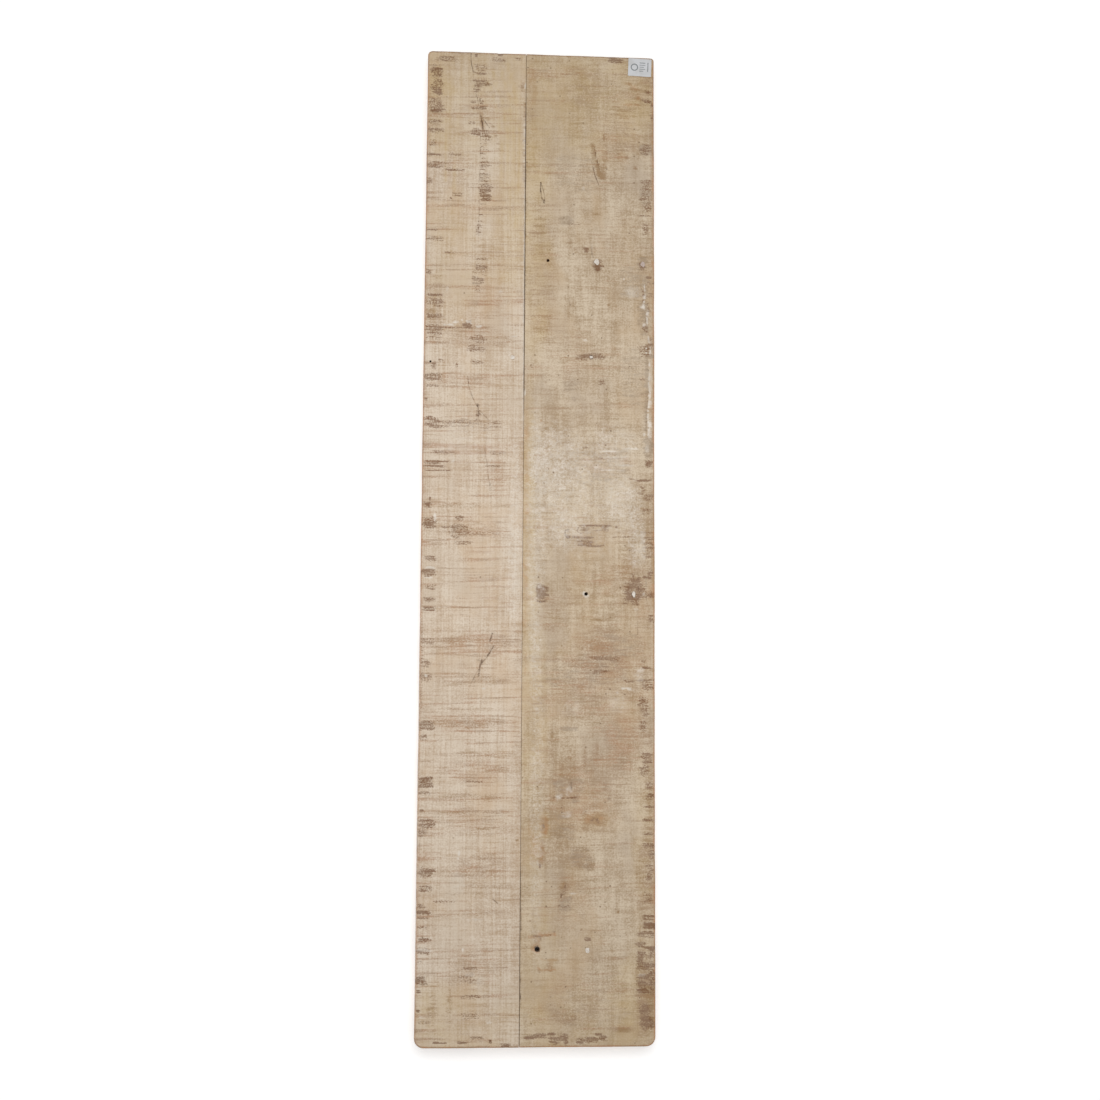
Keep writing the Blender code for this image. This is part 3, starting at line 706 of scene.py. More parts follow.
class WornFace:
    """Says how much of each tone lies at points of the worn face, and how deep it is cut.

    Places are distances from the plank's left edge and near end, in millimetres.
    """

    BLOCKY = (Tone.DIRT, Tone.GREY)
    CRUMBLY = (Tone.CHALK_AND_LIGHT, Tone.UMBER_AND_SHADE)
    CRISP = (Tone.CHALK_AND_LIGHT, Tone.CRACK_AND_SHADE)
    DIRT_DEPTH = 0.28
    FRINGE = 1.6
    REACH = 4.0
    MOST = 0.98

    def __init__(self, marks: list, dents: tuple, holes: tuple, seed: int) -> None:
        """Sort the marks of one board and set up its random fields.

        Args:
            marks: Its patches and strokes.
            dents: Its dents.
            holes: Its nail holes.
            seed: Start of its random fields.
        """
        self.patches = [mark for mark in marks if isinstance(mark, Patch)]
        self.strokes = [mark for mark in marks if isinstance(mark, Stroke)]
        self.dents = dents
        self.holes = holes
        self.sway_x = Lattice(seed + 1, 7.0, 3.0)
        self.sway_y = Lattice(seed + 2, 9.0, 4.0)
        self.fade = Lattice(seed + 3, 11.0, 5.0)
        self.wander = Lattice(seed + 4, 16.0, 14.0)

    def tones(self, x: np.ndarray, y: np.ndarray) -> dict:
        """Return the amount of every tone at points of the face.

        Args:
            x: Places across the plank.
            y: Places along the plank.

        Returns:
            One array for each tone.
        """
        left = {tone: np.ones_like(x) for tone in Tone}
        for patch in self.patches:
            self._screen(left[patch.tone], patch, x, y)
        for stroke in self.strokes:
            near, amount = self._stroke(stroke, x, y)
            left[stroke.tone][near] *= 1.0 - np.minimum(amount * stroke.strength, self.MOST)
        return {tone: 1.0 - rest for tone, rest in left.items()}

    def depth(self, x: np.ndarray, y: np.ndarray, dirt: np.ndarray) -> np.ndarray:
        """Return how deep the face is cut by cracks, dents and unsanded dirt.

        Args:
            x: Places across the plank.
            y: Places along the plank.
            dirt: How much dirt lies at each point.

        Returns:
            A depth in millimetres for each point.
        """
        cut = self.DIRT_DEPTH * np.minimum(dirt, 1.0)
        for stroke in self.strokes:
            if stroke.depth > 0:
                near, amount = self._stroke(stroke, x, y)
                cut[near] = np.maximum(cut[near], amount * stroke.depth)
        for dent in self.dents:
            away = np.hypot((x - dent.x) / dent.half_x, (y - dent.y) / dent.half_y)
            away += 0.35 * (self.fade.at(x, y) - 0.5)
            cut += dent.depth * (1.0 - ease(away, 0.45, 1.15))
        return cut

    def detail(self, x: np.ndarray, y: np.ndarray) -> np.ndarray:
        """Say where the mesh has to be fine.

        Args:
            x: Places across the plank.
            y: Places along the plank.

        Returns:
            Each point's distance to the nearest fine feature, in millimetres.
        """
        best = np.full(x.shape, np.inf)
        for stroke in self.strokes:
            if stroke.tone in self.CRISP:
                best = np.minimum(best, distance_to_line(x, y, stroke.points))
            elif stroke.tone is Tone.DIRT:
                best = np.minimum(best, distance_to_line(x, y, stroke.points) * 1.8)
        for patch in self.patches:
            if min(patch.half_x, patch.half_y) < 2.5 and max(patch.half_x, patch.half_y) < 6:
                away = np.hypot(x - patch.x, y - patch.y)
                best = np.minimum(best, np.maximum(0.3, away - max(patch.half_x, patch.half_y)))
        for hole in self.holes:
            away = np.hypot(x - hole.x, y - hole.y)
            best = np.minimum(best, np.abs(away - hole.radius) * 0.6)
        return best

    def _screen(self, left: np.ndarray, patch: Patch, x: np.ndarray, y: np.ndarray) -> None:
        """Lay one patch over what is left uncovered of its tone.

        Args:
            left: The share that is uncovered so far; it is changed.
            patch: The patch.
            x: Places across the plank.
            y: Places along the plank.
        """
        near = np.flatnonzero(
            (np.abs(x - patch.x) < patch.half_x * self.FRINGE + self.REACH)
            & (np.abs(y - patch.y) < patch.half_y * self.FRINGE + self.REACH)
        )
        px = x[near]
        py = y[near]
        blocky = patch.tone in self.BLOCKY
        sway = min(2.5, 0.35 * min(patch.half_x, patch.half_y))
        dx = (px - patch.x + 2 * sway * (self.sway_x.at(px, py) - 0.5)) / patch.half_x
        dy = (py - patch.y + 2 * sway * (self.sway_y.at(px, py) - 0.5)) / patch.half_y
        power = 4.0 if blocky else 2.0
        away = (np.abs(dx) ** power + np.abs(dy) ** power) ** (1.0 / power)
        inside = 1.0 - ease(away, 0.8 if blocky else 0.35, 1.15 if blocky else 1.35)
        left[near] *= 1.0 - np.minimum(inside * patch.strength, self.MOST)

    def _stroke(self, stroke: Stroke, x: np.ndarray, y: np.ndarray) -> tuple:
        """Find the points that a stroke covers.

        Args:
            stroke: The stroke.
            x: Places across the plank.
            y: Places along the plank.

        Returns:
            The numbers of the points near it, and how strongly it covers each of them.
        """
        xs = [point[0] for point in stroke.points]
        ys = [point[1] for point in stroke.points]
        reach = 3.0 * stroke.width + 1.0
        near = np.flatnonzero(
            (x > min(xs) - reach)
            & (x < max(xs) + reach)
            & (y > min(ys) - reach)
            & (y < max(ys) + reach)
        )
        px = x[near]
        py = y[near]
        if stroke.tone is Tone.SAW:
            broken = 0.45 + 0.9 * self.fade.at(px, py)
        else:
            px = px + 1.6 * (self.wander.at(px, py) - 0.5)
            broken = 0.7 + 0.5 * self.fade.at(px * 1.7, py * 1.7)
            if stroke.tone in self.CRUMBLY:
                broken = 1.5 * ease(self.fade.at(px * 3.0, py * 2.0), 0.2, 0.7)
        away = distance_to_line(px, py, stroke.points) / stroke.width
        return near, np.exp(-away * away) * broken


# ---------------------------------------------------------------- boards


@dataclass(frozen=True)
class Spots:
    """The points of a board's mesh before it is worn, in millimetres.

    Args:
        x: Distances from the plank's left edge.
        y: Distances from its near end.
        z: Heights above its underside.
        rim: Distances from the board's nearest open edge or end.
        top: True on the worn face.
        under: True on the underside.
    """

    x: np.ndarray
    y: np.ndarray
    z: np.ndarray
    rim: np.ndarray
    top: np.ndarray
    under: np.ndarray


@dataclass
class Board:
    """One board: a swept block with drilled holes, worn edges, saw marks and stains.

    Args:
        node: The solid that it replaces.
        marks: Its listed marks.
        dents: Its dents.
        holes: Its nail holes.
        outer_side: -1 where the board's outer edge is on the left, 1 on the right.
        near_radius: Corner radius at the near end, in millimetres.
        far_radius: Corner radius at the far end, in millimetres.
        seed: Start of its random fields.
        ripple: Height of its saw ripple, in millimetres.
        chatter_tone: How strongly the ripple is stained.
    """

    node: str
    marks: list
    dents: tuple
    holes: tuple
    outer_side: int
    near_radius: float
    far_radius: float
    seed: int
    ripple: float = 0.10
    chatter_tone: float = 0.55
    arris: float = 2.5
    seam_arris: float = 0.5
    step_along: float = 1.25
    step_across: float = 3.85
    step_under: float = 24.0
    side_steps: int = 3
    end_cuts: int = 24
    arris_steps: int = 4
    drill_sides: int = 22
    drill_past: float = 6.0
    hole_wobble: float = 0.10
    shaded_bore_rim: float = 0.3
    open_gap: float = 0.95
    closed_gap: float = 0.45
    open_from: float = 835.0
    open_to: float = 1215.0
    low: Vector = field(init=False)
    high: Vector = field(init=False)

    FINER = ((2.5, 1.7), (1.2, 0.9), (0.7, 0.55))
    WEAR_REACH = 18.0
    SEAM_REACH = 6.0
    END_REACH = 30.0

    def __post_init__(self) -> None:
        """Read the board's place from the frame."""
        low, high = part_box(self.node)
        self.low = Vector(low)
        self.high = Vector(high)
        self.face = WornFace(self.marks, self.dents, self.holes, self.seed)
        self.broad = Lattice(self.seed + 10, 70.0, 110.0)
        self.chatter = Lattice(self.seed + 11, 80.0, 2.6)
        self.edge_wear = Lattice(self.seed + 12, 30.0, 17.0)
        self.edge_chip = Lattice(self.seed + 13, 9.0, 4.5)
        self.blotch = Lattice(self.seed + 14, 26.0, 38.0)
        self.streak = Lattice(self.seed + 15, 22.0, 3.2)

    @property
    def width(self) -> float:
        """The board's width in millimetres."""
        return (self.high.x - self.low.x) / MM

    @property
    def length(self) -> float:
        """The board's length in millimetres."""
        return (self.high.y - self.low.y) / MM

    @property
    def thickness(self) -> float:
        """The board's thickness in millimetres."""
        return (self.high.z - self.low.z) / MM

    def build(self) -> bpy.types.Object:
        """Make the board's finished mesh and return its object."""
        block = self._sweep()
        drilled = self._drill(block)
        mesh = self._refine(drilled)
        self._shape(mesh)
        mesh.shade_smooth()
        mesh.set_sharp_from_angle(angle=math.radians(50))
        piece = bpy.data.objects.new(f"{self.node}_worn", mesh)
        bpy.context.scene.collection.objects.link(piece)
        return piece

    def _arris_steps(self, radius: float) -> list:
        """Return distances from an edge that round an arris evenly."""
        turns = [math.pi / 2 * step / self.arris_steps for step in range(self.arris_steps + 1)]
        return [radius * (1.0 - math.cos(turn)) for turn in turns]

    def _section(self) -> list:
        """Return the section's points, as distance from the outer edge and height."""
        outer = self._arris_steps(self.arris)
        seam = self._arris_steps(self.seam_arris)[::2]
        top = self.thickness
        across = self.width - self.arris - self.seam_arris
        ring = [(away, top) for away in outer]
        count = round(across / self.step_across)
        ring += [(self.arris + across * step / count, top) for step in range(1, count)]
        ring += [(self.width - away, top) for away in reversed(seam)]
        ring += [(self.width, top * (1 - step / self.side_steps)) for step in range(1, self.side_steps)]
        ring += [(self.width - away, 0.0) for away in seam[::2]]
        count = round(across / self.step_under)
        ring += [(self.arris + across * (1 - step / count), 0.0) for step in range(1, count)]
        ring += [(away, 0.0) for away in reversed(outer[::2])]
        ring += [(0.0, top * step / self.side_steps) for step in range(1, self.side_steps)]
        return ring

    def _x(self, from_outer: float) -> float:
        """Return the X of a distance from the outer edge, in metres."""
        edge = self.high.x if self.outer_side > 0 else self.low.x
        return edge - self.outer_side * from_outer * MM

    def _sweep(self) -> bpy.types.Object:
        """Extrude the section along the board, divide its long run and close both ends."""
        bm = bmesh.new()
        arris = self._arris_steps(self.arris)
        start = [
            bm.verts.new((self._x(away), self.low.y, height * MM)) for away, height in self._section()
        ]
        edges = [bm.edges.new((a, b)) for a, b in zip(start, start[1:] + start[:1])]
        bmesh.ops.contextual_create(bm, geom=edges)
        steps = [after - before for before, after in zip(arris, arris[1:])]
        run = self.length - 2 * self.arris
        long_edges = []
        for step in [*steps, run, *reversed(steps)]:
            grown = bmesh.ops.extrude_edge_only(bm, edges=edges)["geom"]
            edges = [item for item in grown if isinstance(item, bmesh.types.BMEdge)]
            moved = [item for item in grown if isinstance(item, bmesh.types.BMVert)]
            bmesh.ops.translate(bm, verts=moved, vec=(0, step * MM, 0))
            if step == run:
                long_edges = [edge for edge in bm.edges if edge.calc_length() > run * MM / 2]
        bmesh.ops.contextual_create(bm, geom=edges)
        cuts = round(run / self.step_along) - 1
        bmesh.ops.subdivide_edges(bm, edges=long_edges, cuts=cuts, use_grid_fill=True)
        bmesh.ops.recalc_face_normals(bm, faces=bm.faces)
        self._divide_ends(bm)
        return link_bmesh(f"{self.node}_block", bm)

    def _divide_ends(self, bm: bmesh.types.BMesh) -> None:
        """Divide both end faces into a coarse grid, so that they can be shaped and stained.

        Args:
            bm: The swept block.
        """
        layers = [(0, 0, self.high.z * step / self.side_steps) for step in range(1, self.side_steps)]
        share = (self.high.x - self.low.x) / self.end_cuts
        columns = [(self.low.x + share * step, 0, 0) for step in range(1, self.end_cuts)]
        planes = [(point, (0, 0, 1)) for point in layers] + [(point, (1, 0, 0)) for point in columns]
        for point, normal in planes:
            ends = [face for face in bm.faces if abs(face.normal.y) > 0.9]
            rims = {edge for face in ends for edge in face.edges}
            corners = {vertex for face in ends for vertex in face.verts}
            geom = [*ends, *sorted(rims, key=lambda e: e.index), *sorted(corners, key=lambda v: v.index)]
            bmesh.ops.bisect_plane(bm, geom=geom, dist=1e-6, plane_co=point, plane_no=normal)

    def _drill(self, block: bpy.types.Object) -> bpy.types.Mesh:
        """Cut the nail holes right through the block.

        Args:
            block: The swept block, which is removed.

        Returns:
            The drilled mesh.
        """
        bm = bmesh.new()
        wobble = np.random.default_rng(self.seed)
        for hole in self.holes:
            place = Matrix.Translation(
                (LEFT_EDGE + hole.x * MM, NEAR_END + hole.y * MM, self.thickness * MM / 2)
            )
            drill = bmesh.ops.create_cone(
                bm,
                cap_ends=True,
                segments=self.drill_sides,
                radius1=hole.radius * MM,
                radius2=hole.radius * MM,
                depth=(self.thickness + self.drill_past) * MM,
                matrix=place,
            )["verts"]
            centre = place.translation
            for lower, upper in zip(drill[::2], drill[1::2]):
                push = 1.0 + self.hole_wobble * (wobble.random() - 0.5)
                for vertex in (lower, upper):
                    vertex.co.x = centre.x + (vertex.co.x - centre.x) * push
                    vertex.co.y = centre.y + (vertex.co.y - centre.y) * push
        cutter = link_bmesh(f"{self.node}_drills", bm)
        cut = block.modifiers.new("drill", "BOOLEAN")
        cut.operation = "DIFFERENCE"
        cut.solver = "EXACT"
        cut.object = cutter
        bpy.context.view_layer.update()
        depsgraph = bpy.context.evaluated_depsgraph_get()
        mesh = bpy.data.meshes.new_from_object(block.evaluated_get(depsgraph))
        bpy.data.objects.remove(block, do_unlink=True)
        bpy.data.objects.remove(cutter, do_unlink=True)
        return mesh

    def _refine(self, mesh: bpy.types.Mesh) -> bpy.types.Mesh:
        """Divide the face more finely around cracks, holes and small marks.

        Args:
            mesh: The drilled mesh.

        Returns:
            A new, finer mesh.
        """
        bm = bmesh.new()
        bm.from_mesh(mesh)
        top = self.thickness * MM - 1e-6
        for reach, longest in self.FINER:
            edges = [
                edge for edge in bm.edges if edge.verts[0].co.z > top and edge.verts[1].co.z > top
            ]
            ends = np.array([[*edge.verts[0].co, *edge.verts[1].co] for edge in edges]) / MM
            middle_x = (ends[:, 0] + ends[:, 3]) / 2 - LEFT_EDGE / MM
            middle_y = (ends[:, 1] + ends[:, 4]) / 2 - NEAR_END / MM
            span = np.hypot(ends[:, 0] - ends[:, 3], ends[:, 1] - ends[:, 4])
            wanted = (self.face.detail(middle_x, middle_y) < reach) & (span > longest)
            chosen = [edge for edge, want in zip(edges, wanted) if want]
            bmesh.ops.subdivide_edges(
                bm, edges=chosen, cuts=1, use_grid_fill=True, use_single_edge=True
            )
        many = [face for face in bm.faces if len(face.verts) > 4]
        bmesh.ops.triangulate(bm, faces=many)
        fine = bpy.data.meshes.new(f"{self.node}_worn")
        bm.to_mesh(fine)
        bm.free()
        return fine

    def _shape(self, mesh: bpy.types.Mesh) -> None:
        """Round the edges, cut the marks into the surface and store the tones on the mesh.

        Args:
            mesh: The board's mesh.
        """
        count = len(mesh.vertices)
        flat = np.empty(count * 3)
        mesh.vertices.foreach_get("co", flat)
        place = flat.reshape(-1, 3).copy() / MM
        x = place[:, 0] - LEFT_EDGE / MM
        y = place[:, 1] - NEAR_END / MM
        z = place[:, 2]
        top = z > self.thickness - 0.001
        under = z < 0.001
        outer_x = (self._x(0.0) - LEFT_EDGE) / MM
        from_outer = np.abs(x - outer_x)
        from_seam = self.width - from_outer
        from_near = y
        from_far = self.length - y
        rim = np.minimum(from_outer, np.minimum(from_near, from_far))

        spots = Spots(x, y, z, rim, top, under)
        tones = self._tones(spots)
        arris = self.arris * (0.78 + 0.5 * self.edge_wear.at(x + z, y))
        drop = self._round(rim, arris) + self._round(from_seam, np.full_like(x, self.seam_arris))
        relief = self._relief(spots, tones[Tone.DIRT])
        squeeze = self.arris + (z / self.thickness) * (self.thickness - 2 * self.arris)
        height = np.where(top, self.thickness - drop - relief, squeeze)
        height = np.where(under, drop + relief, height)

        away, near, far = self._turn_corners(from_outer, from_near, from_far)
        edge_fade = np.clip(1.0 - from_outer / self.WEAR_REACH, 0.0, 1.0)
        end_fade = np.clip(1.0 - np.minimum(from_near, from_far) / self.WEAR_REACH, 0.0, 1.0)
        sink = 0.08 + 0.5 * self.edge_wear.at(y * 0.6, z * 3 + 40)
        sink += 0.16 * self.chatter.at(z + 300, y) * (~top & ~under)
        away = away + sink * edge_fade
        gap = self._gap(y)
        spread = (gap - SEAM_GAP) / 2 * np.clip(1.0 - from_seam / self.SEAM_REACH, 0.0, 1.0)
        away = away - spread
        end_sink = 0.06 + 0.25 * self.edge_wear.at(x, z + 90)
        near = near + end_sink * end_fade * (from_near < self.END_REACH)
        far = far + end_sink * end_fade * (from_far < self.END_REACH)
        along = np.where(from_near < from_far, near, self.length - far)

        place[:, 0] = (outer_x - self.outer_side * away) + LEFT_EDGE / MM
        place[:, 1] = along + NEAR_END / MM
        place[:, 2] = np.clip(height, 0.0, self.thickness)
        mesh.vertices.foreach_set("co", (place * MM).ravel())
        mesh.update()
        for tone, amount in tones.items():
            layer = mesh.attributes.new(tone.value, "FLOAT", "POINT")
            layer.data.foreach_set("value", np.clip(amount, 0.0, 1.2).astype(np.float32))

    def _turn_corners(self, away: np.ndarray, near: np.ndarray, far: np.ndarray) -> tuple:
        """Turn the two square outer corners into round ones, seen from above.

        Args:
            away: Distances from the outer edge.
            near: Distances from the near end.
            far: Distances from the far end.

        Returns:
            The three distances after the corners are rounded.
        """
        away = away.copy()
        ends = []
        for end, radius in ((near.copy(), self.near_radius), (far.copy(), self.far_radius)):
            a = radius - away
            b = radius - end
            inside = (a > 0) & (b > 0)
            pull = np.maximum(a, b) / np.maximum(np.hypot(a, b), 1e-9)
            away = np.where(inside, radius - a * pull, away)
            ends.append(np.where(inside, radius - b * pull, end))
        return away, ends[0], ends[1]

    def _round(self, away: np.ndarray, radius: np.ndarray) -> np.ndarray:
        """Return how far a rounded edge falls below the face at a distance from the edge."""
        reach = np.clip(radius - away, 0.0, None)
        return radius - np.sqrt(np.maximum(radius * radius - reach * reach, 0.0))

    def _gap(self, y: np.ndarray) -> np.ndarray:
        """Return how wide the seam stands open along the board.

        Args:
            y: Distances from the near end, in millimetres.

        Returns:
            A width in millimetres for each of them.
        """
        opened = ease(y, self.open_from - 40, self.open_from + 10)
        opened *= 1.0 - ease(y, self.open_to - 20, self.open_to + 50)
        opened = np.maximum(opened, 0.5 * (1.0 - ease(y, 205, 236)))
        return self.closed_gap + (self.open_gap - self.closed_gap) * opened

    def _relief(self, spots: Spots, dirt: np.ndarray) -> np.ndarray:
        """Return how far the surface lies below its highest plane.

        Args:
            spots: The mesh's points.
            dirt: How much dirt lies at each of them.

        Returns:
            A depth in millimetres for each point.
        """
        x, y, top = spots.x, spots.y, spots.top
        saw = self.chatter.at(x + spots.z, y - 0.03 * x)
        relief = 0.16 * self.broad.at(x, y) + self.ripple * saw
        cut = self.face.depth(x, y, np.where(top, dirt, 0.0))
        chip = ease(self.edge_chip.at(x, y), 0.66, 0.9) * (1.0 - ease(spots.rim, 1.0, 6.0))
        relief = relief + np.where(top, cut, 0.0) + 0.5 * chip
        rough = 0.22 * saw + 0.25 * ease(self.streak.at(x + 500, y), 0.55, 0.9)
        return np.where(spots.under, relief + rough, relief)

    def _tones(self, spots: Spots) -> dict:
        """Return every tone: the marks of the worn face, loose weathering elsewhere and painted shade down
        the nail holes.

        Args:
            spots: The mesh's points.

        Returns:
            An amount for each point, by tone.
        """
        x, y, z = spots.x, spots.y, spots.z
        worn = self.face.tones(x, y)
        across = x + (self.thickness - z)
        blotch = self.blotch.at(across + 400, y)
        streak = self.streak.at(across + 200, y)
        loose = {tone: np.zeros_like(x) for tone in Tone}
        loose[Tone.DIRT] = 0.75 * ease(blotch * 0.6 + streak * 0.4, 0.58, 0.78)
        loose[Tone.UMBER_AND_SHADE] = 0.25 + 0.5 * ease(self.blotch.at(across, y + 700), 0.45, 0.85)
        loose[Tone.GREY] = 0.6 * ease(self.blotch.at(across + 90, y + 90), 0.5, 0.9)
        loose[Tone.SAW] = 0.7 * ease(self.chatter.at(across + 80, y), 0.6, 0.95)
        loose[Tone.CHALK_AND_LIGHT] = 0.3 * ease(self.blotch.at(across + 60, y + 300), 0.7, 0.95)
        chatter = self.chatter.at(x, y - 0.03 * x)
        worn[Tone.SAW] = np.maximum(worn[Tone.SAW], self.chatter_tone * ease(chatter, 0.55, 0.95))
        tones = {tone: np.where(spots.top, worn[tone], loose[tone]) for tone in Tone}
        from_arris = np.maximum(spots.rim, np.minimum(z, self.thickness - z))
        tones[Tone.ARRIS] = 1.0 - ease(from_arris, 0.6, 3.4)
        # Painted shade: the walls of each nail hole and a thin rim round it take the full dark brown of the
        # cracks, for the shade down the hole.
        for hole in self.holes:
            shaded_bore = np.hypot(x - hole.x, y - hole.y) < hole.radius + self.shaded_bore_rim
            tones[Tone.CRACK_AND_SHADE] = np.where(shaded_bore, 1.0, tones[Tone.CRACK_AND_SHADE])
        return tones


def link_bmesh(name: str, bm: bmesh.types.BMesh) -> bpy.types.Object:
    """Turn a bmesh into an object in the scene and free it.

    Args:
        name: The object's name.
        bm: The bmesh.

    Returns:
        The object.
    """
    mesh = bpy.data.meshes.new(name)
    bm.to_mesh(mesh)
    bm.free()
    piece = bpy.data.objects.new(name, mesh)
    bpy.context.scene.collection.objects.link(piece)
    return piece


# ---------------------------------------------------------------- node graphs

Socket = bpy.types.NodeSocket


def display(red: float, green: float, blue: float) -> tuple:
    """Return a colour given as 0 to 255 display values, as the linear values that shaders take."""
    parts = [value / 255.0 for value in (red, green, blue)]
    linear = [p / 12.92 if p <= 0.04045 else ((p + 0.055) / 1.055) ** 2.4 for p in parts]
    return (*linear, 1.0)


class Graph:
    """Adds nodes to a tree and links them, one short call for each."""

    def __init__(self, tree: bpy.types.NodeTree) -> None:
        """Work on the given tree."""
        self.tree = tree

    def put(self, socket: Socket, value: object) -> None:
        """Feed a socket.

        Args:
            socket: The input to feed.
            value: Another node's output, or a plain value.
        """
        if isinstance(value, Socket):
            self.tree.links.new(value, socket)
        else:
            socket.default_value = value

    def node(self, kind: str, settings: dict, inputs: dict) -> bpy.types.Node:
        """Add a node.

        Args:
            kind: The node's type.
            settings: Its settings by name.
            inputs: What its inputs get, by name or number.

        Returns:
            The node.
        """
        made = self.tree.nodes.new(kind)
        for name, value in settings.items():
            setattr(made, name, value)
        for name, value in inputs.items():
            self.put(made.inputs[name], value)
        return made

    def math(self, operation: str, *values: object) -> Socket:
        """Return the result of a Math node."""
        inputs = dict(enumerate(values))
        return self.node("ShaderNodeMath", {"operation": operation}, inputs).outputs[0]

    def plus(self, first: object, second: object) -> Socket:
        """Return the sum of two numbers."""
        return self.math("ADD", first, second)

    def minus(self, first: object, second: object) -> Socket:
        """Return the first number less the second."""
        return self.math("SUBTRACT", first, second)

    def times(self, first: object, second: object) -> Socket:
        """Return the product of two numbers."""
        return self.math("MULTIPLY", first, second)

    def swing(self, value: object, middle: float, strength: object) -> Socket:
        """Return how far a number is from its middle, times a strength."""
        return self.times(self.minus(value, middle), strength)

    def length(self, first: object, second: object) -> Socket:
        """Return the length of two offsets at right angles."""
        return self.math("SQRT", self.plus(self.times(first, first), self.times(second, second)))

    def rise(self, value: object, low: object, high: object) -> Socket:
        """Return 0 below low, 1 above high and a smooth step between."""
        inputs = {"Value": value, "From Min": low, "From Max": high}
        return self.node("ShaderNodeMapRange", {"interpolation_type": "SMOOTHSTEP"}, inputs).outputs[0]

    def fall(self, value: object, low: object, high: object) -> Socket:
        """Return 1 below low, 0 above high and a smooth step between."""
        return self.minus(1.0, self.rise(value, low, high))

    def vector(self, operation: str, *values: object) -> Socket:
        """Return the result of a Vector Math node."""
        inputs = dict(enumerate(values))
        return self.node("ShaderNodeVectorMath", {"operation": operation}, inputs).outputs[0]

    def split(self, vector: object) -> list:
        """Return the X, Y and Z of a vector."""
        return list(self.node("ShaderNodeSeparateXYZ", {}, {0: vector}).outputs)

    def noise(self, place: object, grain: object, detail: float = 3.0, rough: float = 0.55) -> Socket:
        """Return a smooth noise.

        Args:
            place: Where it is read.
            grain: Its grains per metre along X, Y and Z.
            detail: How many finer layers it has.
            rough: How much the finer layers count.

        Returns:
            The noise, mostly between 0.2 and 0.8.
        """
        inputs = {"Scale": 1.0, "Detail": detail, "Roughness": rough}
        inputs["Vector"] = self.vector("MULTIPLY", place, grain)
        return self.node("ShaderNodeTexNoise", {}, inputs).outputs["Fac"]

    def mix(self, share: object, first: object, second: object) -> Socket:
        """Return two colours mixed by a share of the second."""
        inputs = {0: share, 6: first, 7: second}
        return self.node("ShaderNodeMix", {"data_type": "RGBA"}, inputs).outputs[2]

    def place(self) -> Socket:
        """Return the point on the object, in metres."""
        return self.node("ShaderNodeTexCoord", {}, {}).outputs["Object"]

    def stored(self, name: str) -> Socket:
        """Return a number stored on the mesh."""
        return self.node("ShaderNodeAttribute", {"attribute_name": name}, {}).outputs["Fac"]

    def use(self, group: bpy.types.NodeTree, **inputs: object) -> dict:
        """Place a node group and return its outputs by name."""
        made = self.node("ShaderNodeGroup", {"node_tree": group}, inputs)
        return {socket.name: socket for socket in made.outputs}


class GroupBuilder(Graph):
    """Builds one shader node group with named inputs and outputs."""

    def __init__(self, name: str, vectors: tuple, numbers: tuple, results: tuple) -> None:
        """Make the group's tree and its sockets.

        Args:
            name: The group's name.
            vectors: Names of its vector inputs.
            numbers: Names of its number inputs.
            results: Names of its outputs, all numbers.
        """
        super().__init__(bpy.data.node_groups.new(name, "ShaderNodeTree"))
        sockets = [(label, "INPUT", "NodeSocketVector") for label in vectors]
        sockets += [(label, "INPUT", "NodeSocketFloat") for label in numbers]
        sockets += [(label, "OUTPUT", "NodeSocketFloat") for label in results]
        for label, side, kind in sockets:
            self.tree.interface.new_socket(label, in_out=side, socket_type=kind)
        self.given = self.tree.nodes.new("NodeGroupInput").outputs
        self.result = self.tree.nodes.new("NodeGroupOutput").inputs

    def give(self, **values: object) -> bpy.types.NodeTree:
        """Link the outputs and return the finished group."""
        for label, value in values.items():
            self.put(self.result[label], value)
        return self.tree


class Surface(Graph):
    """A material's tree, with the Principled shader that it feeds."""

    def __init__(self, name: str) -> None:
        """Make the material and find its shader."""
        self.material = bpy.data.materials.new(name)
        self.material.use_nodes = True
        self.shader = self.material.node_tree.nodes["Principled BSDF"]
        super().__init__(self.material.node_tree)

    def coat(self, colour: object, rough: object, specular: float) -> None:
        """Set the colour, the roughness and how strongly the surface shines."""
        self.put(self.shader.inputs["Base Color"], colour)
        self.put(self.shader.inputs["Roughness"], rough)
        self.put(self.shader.inputs["Specular IOR Level"], specular)

    def bump(self, height: Socket, strength: float, distance: float) -> None:
        """Raise the surface by a height, given how strongly and how far in metres."""
        inputs = {"Strength": strength, "Distance": distance, "Height": height}
        self.put(self.shader.inputs["Normal"], self.node("ShaderNodeBump", {}, inputs).outputs[0])


def build_softwood_grain() -> bpy.types.NodeTree:
    """Build the grain of pine: rings round a pith line that runs along Y, and fibres."""
    g = GroupBuilder("softwood_grain", ("Place", "Pith"), ("Ring",), ("Rings", "Fibre"))
    place = g.given["Place"]
    sway = g.swing(g.noise(place, (6.0, 1.6, 6.0), 2.0), 0.5, 0.022)
    ripple = g.swing(g.noise(place, (60.0, 5.0, 60.0), 2.0), 0.5, 0.0035)
    parts = g.split(g.vector("SUBTRACT", place, g.given["Pith"]))
    across = g.plus(parts[0], g.plus(sway, ripple))
    radius = g.length(across, g.plus(parts[2], sway))
    uneven = g.noise(place, (55.0, 0.8, 55.0), 2.0)
    count = g.plus(g.math("DIVIDE", radius, g.given["Ring"]), g.times(uneven, 6.0))
    share = g.math("FRACT", count)
    late = g.times(g.rise(share, 0.30, 0.88), g.fall(share, 0.90, 1.0))
    return g.give(Rings=late, Fibre=g.noise(place, (900.0, 22.0, 900.0), 4.0, 0.6))


